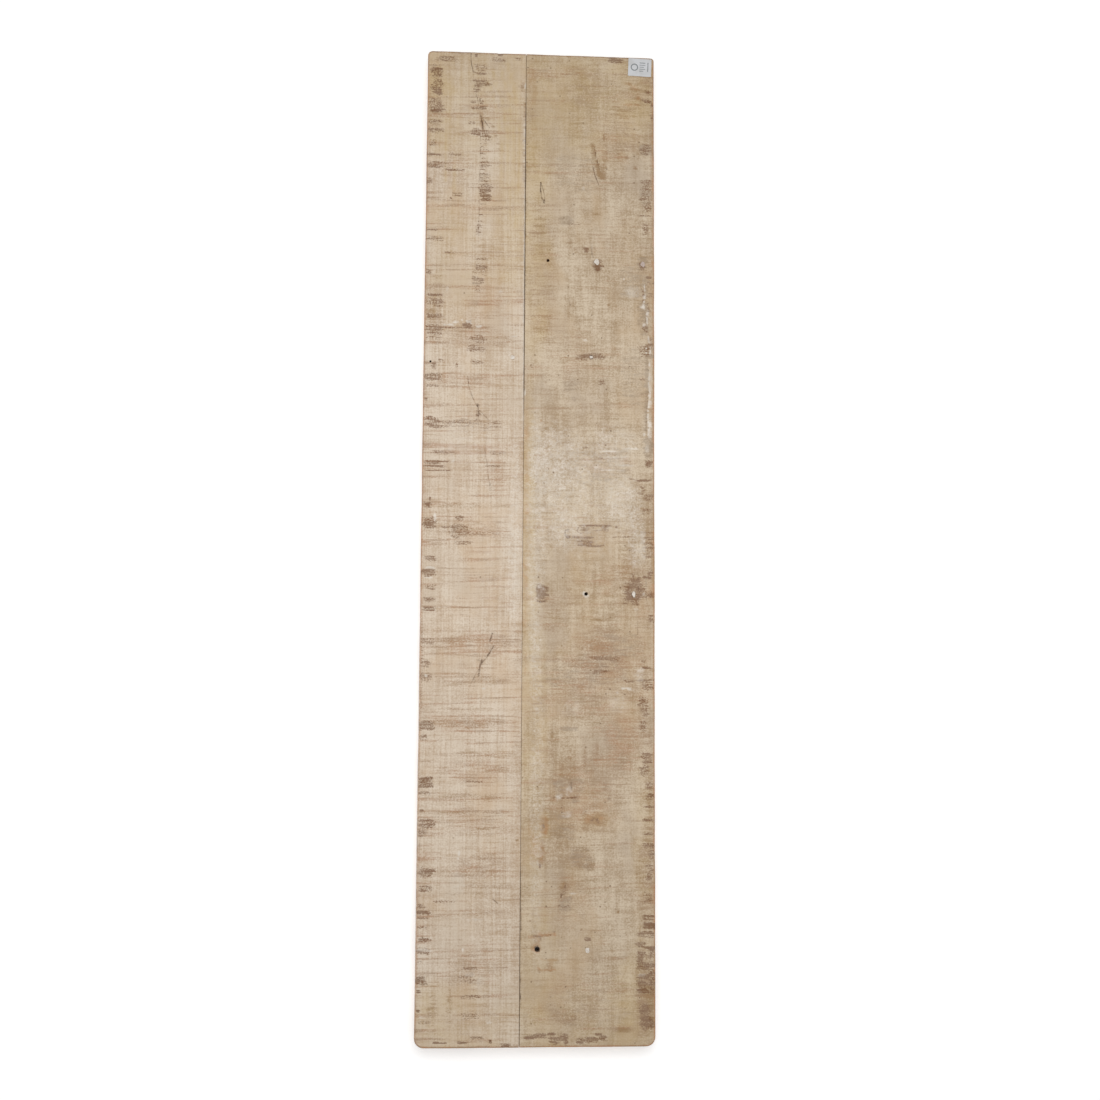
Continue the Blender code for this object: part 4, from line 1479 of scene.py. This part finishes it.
def build_broken_mask() -> bpy.types.NodeTree:
    """Build a mask that breaks a smooth amount into flecks, streaks and grit."""
    g = GroupBuilder("broken_mask", ("Place", "Grain"), ("Amount", "Spread", "Grit", "Soft"), ("Mask",))
    coarse = g.noise(g.given["Place"], g.given["Grain"], 3.0, 0.6)
    fine = g.noise(g.given["Place"], (480.0, 620.0, 480.0), 2.0)
    push = g.swing(coarse, 0.5, g.given["Spread"])
    grit = g.swing(fine, 0.5, g.given["Grit"])
    level = g.plus(g.given["Amount"], g.plus(push, grit))
    half = g.times(g.given["Soft"], 0.5)
    mask = g.rise(level, g.minus(0.5, half), g.plus(0.5, half))
    return g.give(Mask=g.times(mask, g.rise(g.given["Amount"], 0.02, 0.22)))


def build_saw_texture() -> bpy.types.NodeTree:
    """Build the fine marks of a band saw: thin lines across the board, in uneven runs."""
    g = GroupBuilder("saw_texture", ("Place",), ("Slant",), ("Lines",))
    parts = g.split(g.given["Place"])
    along = g.minus(parts[1], g.times(parts[0], g.given["Slant"]))
    turned = g.node("ShaderNodeCombineXYZ", {}, {0: parts[0], 1: along, 2: parts[2]}).outputs[0]
    fine = g.noise(turned, (16.0, 430.0, 16.0), 3.0, 0.6)
    runs = g.noise(turned, (22.0, 34.0, 22.0), 2.0)
    return g.give(Lines=g.times(g.rise(fine, 0.50, 0.72), g.rise(runs, 0.38, 0.62)))


def build_specks() -> bpy.types.NodeTree:
    """Build scattered small specks; Density is the share of cells that hold one."""
    g = GroupBuilder("specks", ("Place",), ("Cells", "Density", "Size"), ("Mask",))
    warp = g.noise(g.given["Place"], (700.0, 700.0, 700.0), 2.0)
    inputs = {"Vector": g.given["Place"], "Scale": g.given["Cells"]}
    cells = g.node("ShaderNodeTexVoronoi", {}, inputs).outputs
    chance = g.node("ShaderNodeSeparateColor", {}, {0: cells["Color"]}).outputs
    kept = g.math("LESS_THAN", chance[0], g.given["Density"])
    size = g.times(g.given["Size"], g.plus(0.4, chance[1]))
    edge = g.plus(cells["Distance"], g.times(warp, 0.12))
    return g.give(Mask=g.times(g.fall(edge, g.times(size, 0.5), size), kept))


# ---------------------------------------------------------------- finishes


@dataclass(frozen=True)
class Layer:
    """How one tone lies on the wood.

    Args:
        tone: The tone whose stored amount it follows.
        colour: Its colour as linear values.
        other: The colour that it drifts to in patches.
        grain: How finely it breaks up along X, Y and Z, in grains per metre.
        spread: How strongly the break-up counts.
        grit: How strongly the finest grit counts.
        soft: How soft its edges are, from 0 to 1.
        cover: How much of the wood it hides at most.
    """

    tone: Tone
    colour: tuple
    other: tuple
    grain: tuple
    spread: float
    grit: float
    soft: float
    cover: float


# Three layers also carry painted light: the eighth, darkest one holds painted shade down the nail holes and
# along the open seam; the third holds painted shade along the open seam; the last, pale one holds a painted
# highlight on the narrow board's seam edge and part of the lightening over the middle of the plank.
LAYERS = (
    Layer(Tone.HONEY, display(199, 171, 116), display(203, 177, 132), (30, 24, 30), 1.0, 0.5, 1.5, 0.62),
    Layer(Tone.ARRIS, display(186, 140, 106), display(166, 124, 96), (160, 40, 160), 1.6, 0.8, 1.0, 0.66),
    Layer(Tone.UMBER_AND_SHADE, display(150, 118, 80), display(160, 130, 102), (34, 240, 34), 2.4, 1.6, 1.2, 0.76),
    Layer(Tone.RUST, display(178, 126, 86), display(172, 138, 98), (60, 40, 60), 2.0, 1.2, 1.3, 0.62),
    Layer(Tone.GREY, display(154, 133, 110), display(166, 149, 130), (60, 300, 60), 2.2, 1.8, 1.1, 0.70),
    Layer(Tone.SAW, display(169, 129, 99), display(160, 131, 106), (30, 460, 30), 1.6, 1.3, 1.0, 0.82),
    Layer(Tone.DIRT, display(124, 89, 62), display(138, 109, 87), (40, 400, 40), 2.6, 2.6, 1.0, 0.86),
    Layer(Tone.CRACK_AND_SHADE, display(104, 72, 48), display(90, 68, 52), (200, 120, 200), 1.2, 0.8, 0.9, 0.88),
    Layer(Tone.CHALK_AND_LIGHT, display(233, 224, 212), display(216, 206, 192), (200, 260, 200), 1.5, 1.3, 1.3, 0.84),
)


@dataclass(frozen=True)
class WoodFinish:
    """A weathered and lightly sanded pine surface.

    Args:
        name: The material's name.
        light: Colour of the early wood.
        dark: Colour of the late wood and of the deeper sawn bands.
        warm: Colour of the warmer patches.
        cool: Colour of the greyer patches.
        pith: The pith line's X and Z, as a vector in metres.
        ring: Width of a growth ring in metres.
        slant: How far the saw marks lean, in metres along the board for each metre across.
        rings: How strongly the growth rings show.
        saw: How strongly the fine saw marks show.
        blotch: How strongly broad patches show.
        drips: How strongly streaks along the board show.
        bands: How strongly bands across the board show.
        grit: How strongly the finest grit shows.
        specks: Share of the speck cells that hold a dark speck.
        worn: True where the mesh stores tones that lie over the wood.
    """

    name: str
    light: tuple
    dark: tuple
    warm: tuple
    cool: tuple
    pith: tuple
    ring: float
    slant: float
    rings: float
    saw: float
    blotch: float
    drips: float
    bands: float
    grit: float
    specks: float
    worn: bool = True

    def material(self, groups: dict) -> bpy.types.Material:
        """Build the material.

        Args:
            groups: The shared node groups by name.

        Returns:
            The material.
        """
        g = Surface(self.name)
        place = g.place()
        grain = g.use(groups["softwood_grain"], Place=place, Pith=self.pith, Ring=self.ring)
        saw = g.use(groups["saw_texture"], Place=place, Slant=self.slant)["Lines"]
        bands = g.noise(place, (24.0, 170.0, 24.0), 4.0, 0.65)
        level = g.plus(g.times(grain["Rings"], self.rings), g.times(saw, self.saw))
        for pattern, middle, strength in (
            (g.noise(place, (13.0, 9.0, 13.0)), 0.45, self.blotch),
            (g.noise(place, (95.0, 16.0, 95.0), 4.0, 0.6), 0.47, self.drips),
            (bands, 0.47, self.bands),
            (grain["Fibre"], 0.47, 0.7),
            (g.noise(place, (430.0, 560.0, 430.0), 3.0, 0.7), 0.5, self.grit),
        ):
            level = g.plus(level, g.swing(pattern, middle, strength))
        colour = g.mix(g.rise(level, -0.35, 1.05), self.light, self.dark)
        for offset, tint, low in (((3.0, 7.0, 0.0), self.warm, 0.46), ((9.0, 2.0, 5.0), self.cool, 0.48)):
            hue = g.noise(g.vector("ADD", place, offset), (16.0, 10.0, 16.0), 4.0, 0.6)
            colour = g.mix(g.times(g.rise(hue, low, low + 0.24), 0.55), colour, tint)
        if self.worn:
            colour = self._dress(g, groups, place, colour)
        specks = g.use(groups["specks"], Place=place, Cells=160.0, Density=self.specks, Size=0.24)
        colour = g.mix(g.times(specks["Mask"], 0.7), colour, display(116, 90, 66))
        height = g.plus(g.times(grain["Fibre"], 0.5), g.times(saw, -0.6))
        g.coat(colour, g.plus(0.70, g.times(grain["Fibre"], 0.16)), 0.25)
        g.bump(g.plus(height, g.times(bands, 0.6)), 0.35, 0.0004)
        return g.material

    def _dress(self, g: Graph, groups: dict, place: Socket, colour: Socket) -> Socket:
        """Lay every stored tone over the wood's colour.

        Args:
            g: The material's graph.
            groups: The shared node groups by name.
            place: The point on the object.
            colour: The bare wood's colour.

        Returns:
            The weathered colour, with the painted shade and light that some tones hold.
        """
        drift = g.rise(g.noise(place, (45.0, 60.0, 45.0)), 0.42, 0.58)
        for layer in LAYERS:
            mask = g.use(
                groups["broken_mask"],
                Place=place,
                Grain=layer.grain,
                Amount=g.stored(layer.tone.value),
                Spread=layer.spread,
                Grit=layer.grit,
                Soft=layer.soft,
            )["Mask"]
            tint = g.mix(drift, layer.colour, layer.other)
            colour = g.mix(g.times(mask, layer.cover), colour, tint)
        return colour


NARROW_WOOD = WoodFinish(
    name="sawn_pine_pale",
    light=display(223, 208, 189),
    dark=display(182, 156, 128),
    warm=display(206, 179, 148),
    cool=display(206, 189, 168),
    pith=(LEFT_EDGE + 0.073, 0.0, 0.026),
    ring=0.0068,
    slant=0.0,
    rings=0.24,
    saw=0.50,
    blotch=1.1,
    drips=0.7,
    bands=1.0,
    grit=1.8,
    specks=0.02,
)
WIDE_WOOD = WoodFinish(
    name="sawn_pine_grey",
    light=display(214, 197, 173),
    dark=display(166, 141, 111),
    warm=display(191, 164, 130),
    cool=display(187, 169, 148),
    pith=(LEFT_EDGE + 0.225, 0.0, -0.055),
    ring=0.0050,
    slant=0.02,
    rings=0.10,
    saw=0.45,
    blotch=1.4,
    drips=1.2,
    bands=1.2,
    grit=2.1,
    specks=0.15,
)
DOWEL_WOOD = WoodFinish(
    name="turned_beech",
    light=display(214, 184, 150),
    dark=display(188, 150, 114),
    warm=display(206, 172, 136),
    cool=display(204, 180, 152),
    pith=(0.0, 0.0, -0.02),
    ring=0.0022,
    slant=0.0,
    rings=0.3,
    saw=0.0,
    blotch=0.5,
    drips=0.5,
    bands=0.0,
    grit=0.8,
    specks=0.0,
    worn=False,
)


@dataclass(frozen=True)
class PasteFinish:
    """A dull cast or squeezed paste such as filler or dried glue.

    Args:
        name: The material's name.
        light: Its colour where it is clean.
        dark: Its colour where it is dirty.
        grain: How finely the dirt breaks up, in grains per metre.
        dirty: How much of it is dirty, from 0 to 1.
        roughness: How dull it is.
    """

    name: str
    light: tuple
    dark: tuple
    grain: float
    dirty: float
    roughness: float

    def material(self, groups: dict) -> bpy.types.Material:
        """Build the material.

        Args:
            groups: The shared node groups by name.

        Returns:
            The material.
        """
        g = Surface(self.name)
        place = g.place()
        dirt = {"Grain": (self.grain,) * 3, "Amount": self.dirty, "Spread": 2.0, "Grit": 0.6, "Soft": 1.0}
        mask = g.use(groups["broken_mask"], Place=place, **dirt)["Mask"]
        rough = g.plus(self.roughness, g.times(mask, 0.15))
        g.coat(g.mix(mask, self.light, self.dark), rough, 0.3)
        g.bump(g.noise(place, (1400.0, 1400.0, 1400.0)), 0.4, 0.0003)
        return g.material


FILLER_PASTE = PasteFinish(
    "white_filler", display(228, 221, 211), display(196, 180, 163), 420.0, 0.35, 0.7
)
STAINED_FILLER = PasteFinish(
    "stained_filler", display(206, 192, 184), display(168, 146, 134), 420.0, 0.5, 0.7
)
GLUE_PASTE = PasteFinish("dark_glue", display(150, 124, 96), display(92, 72, 56), 160.0, 0.5, 0.6)


@dataclass(frozen=True)
class LabelFinish:
    """A plain paper sticker with a ring and a few bars in pale grey ink, and no lettering.

    Args:
        name: The material's name.
        paper: Colour of the paper.
        ink: Colour of the print.
        middle: Middle of the sticker in metres.
        turn: How far the sticker is turned, in degrees.
    """

    name: str
    paper: tuple
    ink: tuple
    middle: tuple
    turn: float

    BARS = (
        (3.5, 6.5, 4.0, 0.55),
        (3.5, 3.4, 4.0, 0.45),
        (2.6, 0.6, 3.1, 0.45),
        (3.5, -2.2, 4.0, 0.45),
        (2.2, -5.0, 2.7, 0.55),
        (11.0, 1.0, 0.6, 6.5),
    )
    RING = (-7.2, 0.0, 4.3, 0.75)
    BLUR = 0.1

    def material(self) -> bpy.types.Material:
        """Build the material and return it."""
        g = Surface(self.name)
        turn = (0.0, 0.0, math.radians(self.turn))
        inputs = {"Vector": g.place(), "Location": self.middle, "Rotation": turn}
        own = g.node("ShaderNodeMapping", {"vector_type": "TEXTURE"}, inputs).outputs[0]
        x, y, _ = g.split(g.vector("MULTIPLY", own, (1 / MM, 1 / MM, 1.0)))
        print_mask = self._ring(g, x, y)
        for bar in self.BARS:
            print_mask = g.math("MAXIMUM", print_mask, self._bar(g, x, y, bar))
        worn = g.noise(own, (900.0, 900.0, 900.0))
        print_mask = g.times(print_mask, g.rise(worn, 0.25, 0.5))
        stain = g.times(g.rise(g.noise(own, (70.0, 70.0, 70.0)), 0.45, 0.7), 0.5)
        paper = g.mix(stain, self.paper, display(190, 188, 184))
        g.coat(g.mix(print_mask, paper, self.ink), g.plus(0.5, g.times(worn, 0.2)), 0.5)
        g.bump(worn, 0.15, 0.0002)
        return g.material

    def _bar(self, g: Graph, x: Socket, y: Socket, bar: tuple) -> Socket:
        """Return the mask of one bar.

        Args:
            g: The material's graph.
            x: Place across the sticker, in millimetres.
            y: Place up the sticker, in millimetres.
            bar: The bar's middle and half sizes, in millimetres.

        Returns:
            1 on the bar and 0 off it.
        """
        middle_x, middle_y, half_x, half_y = bar
        out_x = g.minus(g.math("ABSOLUTE", g.minus(x, middle_x)), half_x)
        out_y = g.minus(g.math("ABSOLUTE", g.minus(y, middle_y)), half_y)
        return g.fall(g.math("MAXIMUM", out_x, out_y), -self.BLUR, self.BLUR)

    def _ring(self, g: Graph, x: Socket, y: Socket) -> Socket:
        """Return the mask of the ring.

        Args:
            g: The material's graph.
            x: Place across the sticker, in millimetres.
            y: Place up the sticker, in millimetres.

        Returns:
            1 on the ring and 0 off it.
        """
        middle_x, middle_y, radius, half = self.RING
        away = g.length(g.minus(x, middle_x), g.minus(y, middle_y))
        off = g.math("ABSOLUTE", g.minus(away, radius))
        return g.fall(off, half - self.BLUR, half + self.BLUR)


# ---------------------------------------------------------------- fillers and label


@dataclass
class Filler:
    """Filler pressed into a nail hole and wiped over its rim.

    Args:
        node: The solid that it replaces.
        spread_x: Half the width of the wiped top, in millimetres.
        spread_y: Half the length of the wiped top, in millimetres.
        tip: How far the top is drawn out towards the near end, as a share of spread_y.
        sink: How far the top lies below the board's highest plane, in millimetres.
        seed: Start of its random outline.
    """

    node: str
    spread_x: float
    spread_y: float
    tip: float
    sink: float
    seed: int
    segments: int = 40
    cap_rings: int = 9
    plug_share: float = 0.86
    neck_depth: float = 1.6
    crown: float = 0.55

    def build(self) -> bpy.types.Object:
        """Spin the plug and its cap, then draw the cap out to its worn outline."""
        low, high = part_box(self.node)
        low = Vector(low)
        high = Vector(high)
        centre = (low + high) / 2
        radius = (high.x - low.x) / 2 * self.plug_share
        top = FACE_Z - self.sink * MM
        neck = FACE_Z - self.neck_depth * MM
        profile = [(0.0, low.z), (radius, low.z), (radius, (low.z + neck) / 2), (radius, neck)]
        rim = top - self.crown * MM
        profile += [(radius * 1.05, rim - 0.5 * MM), (1.0, rim)]
        for step in range(1, self.cap_rings + 1):
            share = 1.0 - step / self.cap_rings
            profile.append((share, top - self.crown * MM * share**4))
        bm = bmesh.new()
        points = [bm.verts.new((centre.x + away, centre.y, height)) for away, height in profile[:5]]
        cap = [
            bm.verts.new((centre.x + share * self.spread_x * MM, centre.y, height))
            for share, height in profile[5:]
        ]
        line = points + cap
        edges = [bm.edges.new((a, b)) for a, b in zip(line, line[1:])]
        bmesh.ops.spin(
            bm,
            geom=line + edges,
            cent=centre,
            axis=(0, 0, 1),
            angle=math.tau,
            steps=self.segments,
            use_merge=True,
        )
        bmesh.ops.remove_doubles(bm, verts=bm.verts, dist=2e-6)
        self._draw_out(bm, centre, rim - 0.1 * MM)
        bmesh.ops.recalc_face_normals(bm, faces=bm.faces)
        for face in bm.faces:
            face.smooth = True
        return link_bmesh(f"{self.node}_wiped", bm)

    def _draw_out(self, bm: bmesh.types.BMesh, centre: Vector, floor: float) -> None:
        """Give the cap an uneven outline, a drawn-out tip and a slightly lumpy top.

        Args:
            bm: The spun filler.
            centre: Its middle, in metres.
            floor: The height from which the cap begins, in metres.
        """
        lumps = Lattice(self.seed, 1.3, 1.3)
        outline = np.random.default_rng(self.seed).uniform(0.0, math.tau, 3)
        for vertex in bm.verts:
            if vertex.co.z < floor:
                continue
            dx = vertex.co.x - centre.x
            dy = vertex.co.y - centre.y
            turn = math.atan2(dy, dx)
            wave = sum(0.07 * math.cos((k + 2) * turn + outline[k]) for k in range(3))
            pull = 1.0 + wave
            dy *= self.spread_y / self.spread_x * pull
            if dy < 0:
                dy *= 1.0 + self.tip
            share = min(1.0, math.hypot(dx, dy) / (self.spread_x * MM))
            vertex.co.x = centre.x + dx * pull
            vertex.co.y = centre.y + dy
            lump = float(lumps.at(np.array([dx / MM]), np.array([dy / MM]))[0])
            vertex.co.z -= 0.12 * MM * lump * (1.0 - 0.5 * share)


FILLERS = (
    Filler("hole_filler_1", 3.4, 3.4, 0.0, 0.20, 31),
    Filler("hole_filler_2", 3.0, 3.4, 0.35, 0.25, 32),
    Filler("hole_filler_3", 2.5, 3.6, 0.1, 0.55, 33),
    Filler("hole_filler_4", 2.4, 2.0, 0.0, 0.35, 34),
    Filler("hole_filler_5", 3.6, 3.8, 0.1, 0.35, 35),
    Filler("hole_filler_6", 3.0, 4.2, 0.1, 0.35, 36),
)


@dataclass
class PaperLabel:
    """The sticker near the far right corner: a thin sheet, a little wavy, on the wood.

    Args:
        node: The solid that it replaces.
        width: Its width in millimetres.
        height: Its height in millimetres.
        turn: How far it is turned, in degrees.
    """

    node: str = "paper_label"
    width: float = 31.2
    height: float = 24.6
    turn: float = -2.0
    thickness: float = 0.09
    wave: float = 0.06
    corner: float = 0.8
    cells: int = 14

    @property
    def middle(self) -> Vector:
        """The middle of the sticker, at its highest plane."""
        low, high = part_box(self.node)
        centre = (Vector(low) + Vector(high)) / 2
        return Vector((centre.x, centre.y, Vector(high).z))

    def build(self) -> bpy.types.Object:
        """Build the sheet from one face, then divide and bend it."""
        bm = bmesh.new()
        half_x = self.width / 2 * MM
        half_y = self.height / 2 * MM
        corners = ((-half_x, -half_y), (half_x, -half_y), (half_x, half_y), (-half_x, half_y))
        sheet = bm.faces.new([bm.verts.new((x, y, 0.0)) for x, y in corners])
        bmesh.ops.bevel(
            bm,
            geom=list(sheet.verts),
            offset=self.corner * MM,
            segments=3,
            profile=0.5,
            affect="VERTICES",
            material=-1,
        )
        for axis, half in ((0, half_x), (1, half_y)):
            for step in range(1, self.cells):
                cut = [0.0, 0.0, 0.0]
                cut[axis] = half * (2 * step / self.cells - 1)
                normal = [0.0, 0.0, 0.0]
                normal[axis] = 1.0
                geom = list(bm.verts) + list(bm.edges) + list(bm.faces)
                bmesh.ops.bisect_plane(bm, geom=geom, plane_co=cut, plane_no=normal)
        bmesh.ops.recalc_face_normals(bm, faces=bm.faces)
        bmesh.ops.solidify(bm, geom=list(bm.faces), thickness=self.thickness * MM)
        waves = Lattice(61, 7.0, 9.0)
        turned = Matrix.Translation(self.middle) @ Matrix.Rotation(math.radians(self.turn), 4, "Z")
        top = max(vertex.co.z for vertex in bm.verts)
        for vertex in bm.verts:
            lift = float(waves.at(np.array([vertex.co.x / MM]), np.array([vertex.co.y / MM]))[0])
            vertex.co.z -= top + self.wave * MM * lift
        bmesh.ops.transform(bm, matrix=turned, verts=bm.verts)
        bmesh.ops.recalc_face_normals(bm, faces=bm.faces)
        return link_bmesh(f"{self.node}_sheet", bm)


# ---------------------------------------------------------------- stage


@dataclass(frozen=True)
class Stage:
    """A white floor, soft light from above and the camera that looks down on the plank."""

    camera_place: tuple = (-0.116, -0.231, 2.008)
    camera_turn: tuple = (6.05, -3.84, 0.31)
    lens: float = 50.0
    sensor: float = 36.0
    floor_size: float = 60.0
    sky: float = 0.47
    lamp_height: float = 1.28
    lamp_size: float = 0.9
    lamp_watts: float = 9.3
    floor_glow: float = 0.36

    def build(self) -> None:
        """Build the floor, the lights and the camera."""
        self._floor()
        self._lights()
        self._camera()

    def _floor(self) -> None:
        """Lay the floor under the plank."""
        bm = bmesh.new()
        bmesh.ops.create_grid(bm, x_segments=1, y_segments=1, size=self.floor_size / 2)
        floor = link_bmesh("studio_floor", bm)
        g = Surface("studio_floor")
        dapple = g.noise(g.place(), (3.0, 3.0, 3.0), 2.0)
        g.coat(g.mix(dapple, display(253, 253, 253), display(255, 255, 255)), 1.0, 0.0)
        g.put(g.shader.inputs["Emission Strength"], self.floor_glow)
        floor.data.materials.append(g.material)

    def _lights(self) -> None:
        """Light the plank evenly, with a little more light over its middle."""
        world = bpy.data.worlds.new("studio_sky")
        world.use_nodes = True
        sky = world.node_tree.nodes["Background"]
        sky.inputs["Color"].default_value = (1.0, 1.0, 1.0, 1.0)
        sky.inputs["Strength"].default_value = self.sky
        bpy.context.scene.world = world
        light = bpy.data.lights.new("softbox", "AREA")
        light.shape = "SQUARE"
        light.size = self.lamp_size
        light.energy = self.lamp_watts
        softbox = bpy.data.objects.new("softbox", light)
        softbox.location = (-0.04, 0.06, self.lamp_height)
        softbox.visible_camera = False
        softbox.rotation_euler = Vector(softbox.location).to_track_quat("Z", "Y").to_euler()
        bpy.context.scene.collection.objects.link(softbox)

    def _camera(self) -> None:
        """Set the camera above the plank."""
        data = bpy.data.cameras.new("camera")
        data.lens = self.lens
        data.sensor_width = self.sensor
        camera = bpy.data.objects.new("camera", data)
        camera.location = self.camera_place
        camera.rotation_euler = Euler([math.radians(turn) for turn in self.camera_turn])
        bpy.context.scene.collection.objects.link(camera)
        bpy.context.scene.camera = camera
        bpy.context.scene.view_settings.view_transform = "Standard"


# ---------------------------------------------------------------- the plank


class Plank:
    """Puts the boards, fillers, label, glue and dowels together and dresses them."""

    def __init__(self) -> None:
        """Build the shared node groups and the two boards."""
        builders = (build_softwood_grain, build_broken_mask, build_saw_texture, build_specks)
        self.groups = {made.name: made for made in (build() for build in builders)}
        self.narrow = Board(
            "narrow_board", NARROW_MARKS, NARROW_DENTS, NARROW_HOLES, -1, 12.0, 6.0, 101
        )
        self.wide = Board(
            "wide_board", WIDE_MARKS, WIDE_DENTS, WIDE_HOLES, 1, 12.0, 4.0, 202, 0.06, 0.35
        )
        self.label = PaperLabel()

    def build(self) -> None:
        """Build every piece in order and dress the solids that stay."""
        for board, finish in ((self.narrow, NARROW_WOOD), (self.wide, WIDE_WOOD)):
            piece = board.build()
            self._join(piece, board.node, finish.material(self.groups))
        paste = FILLER_PASTE.material(self.groups)
        stained = STAINED_FILLER.material(self.groups)
        for filler in FILLERS:
            finish = stained if filler is FILLERS[-1] else paste
            self._join(filler.build(), filler.node, finish)
        paper = LabelFinish(
            "label_paper",
            display(214, 215, 217),
            display(128, 132, 134),
            tuple(self.label.middle),
            self.label.turn,
        )
        self._join(self.label.build(), self.label.node, paper.material())
        self._dress_kept("glue_line", GLUE_PASTE.material(self.groups))
        beech = DOWEL_WOOD.material(self.groups)
        for name in sorted(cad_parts):
            if name.startswith("dowel_"):
                self._dress_kept(name, beech)

    def _join(self, piece: bpy.types.Object, node: str, look: bpy.types.Material) -> None:
        """Dress a finished piece and tie it to the solid that it stands for.

        Args:
            piece: The finished piece.
            node: The solid that it replaces.
            look: Its material.
        """
        piece.data.materials.clear()
        piece.data.materials.append(look)
        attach(piece, "root")
        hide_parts(node)
        piece.data.calc_loop_triangles()
        LOG.info("%s: %d triangles", piece.name, len(piece.data.loop_triangles))

    def _dress_kept(self, node: str, look: bpy.types.Material) -> None:
        """Give a solid that stays its finish.

        Args:
            node: The solid's name.
            look: Its material.
        """
        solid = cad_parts[node]
        solid.data.materials.clear()
        solid.data.materials.append(look)
        LOG.info("%s: kept", node)


def write_sizes() -> None:
    """Update the view layer."""
    bpy.context.view_layer.update()


def main() -> None:
    """Build the plank and its stage."""
    logging.basicConfig(level=logging.INFO, format="%(name)s: %(message)s")
    Plank().build()
    Stage().build()
    write_sizes()


if __name__ == "__main__":
    main()
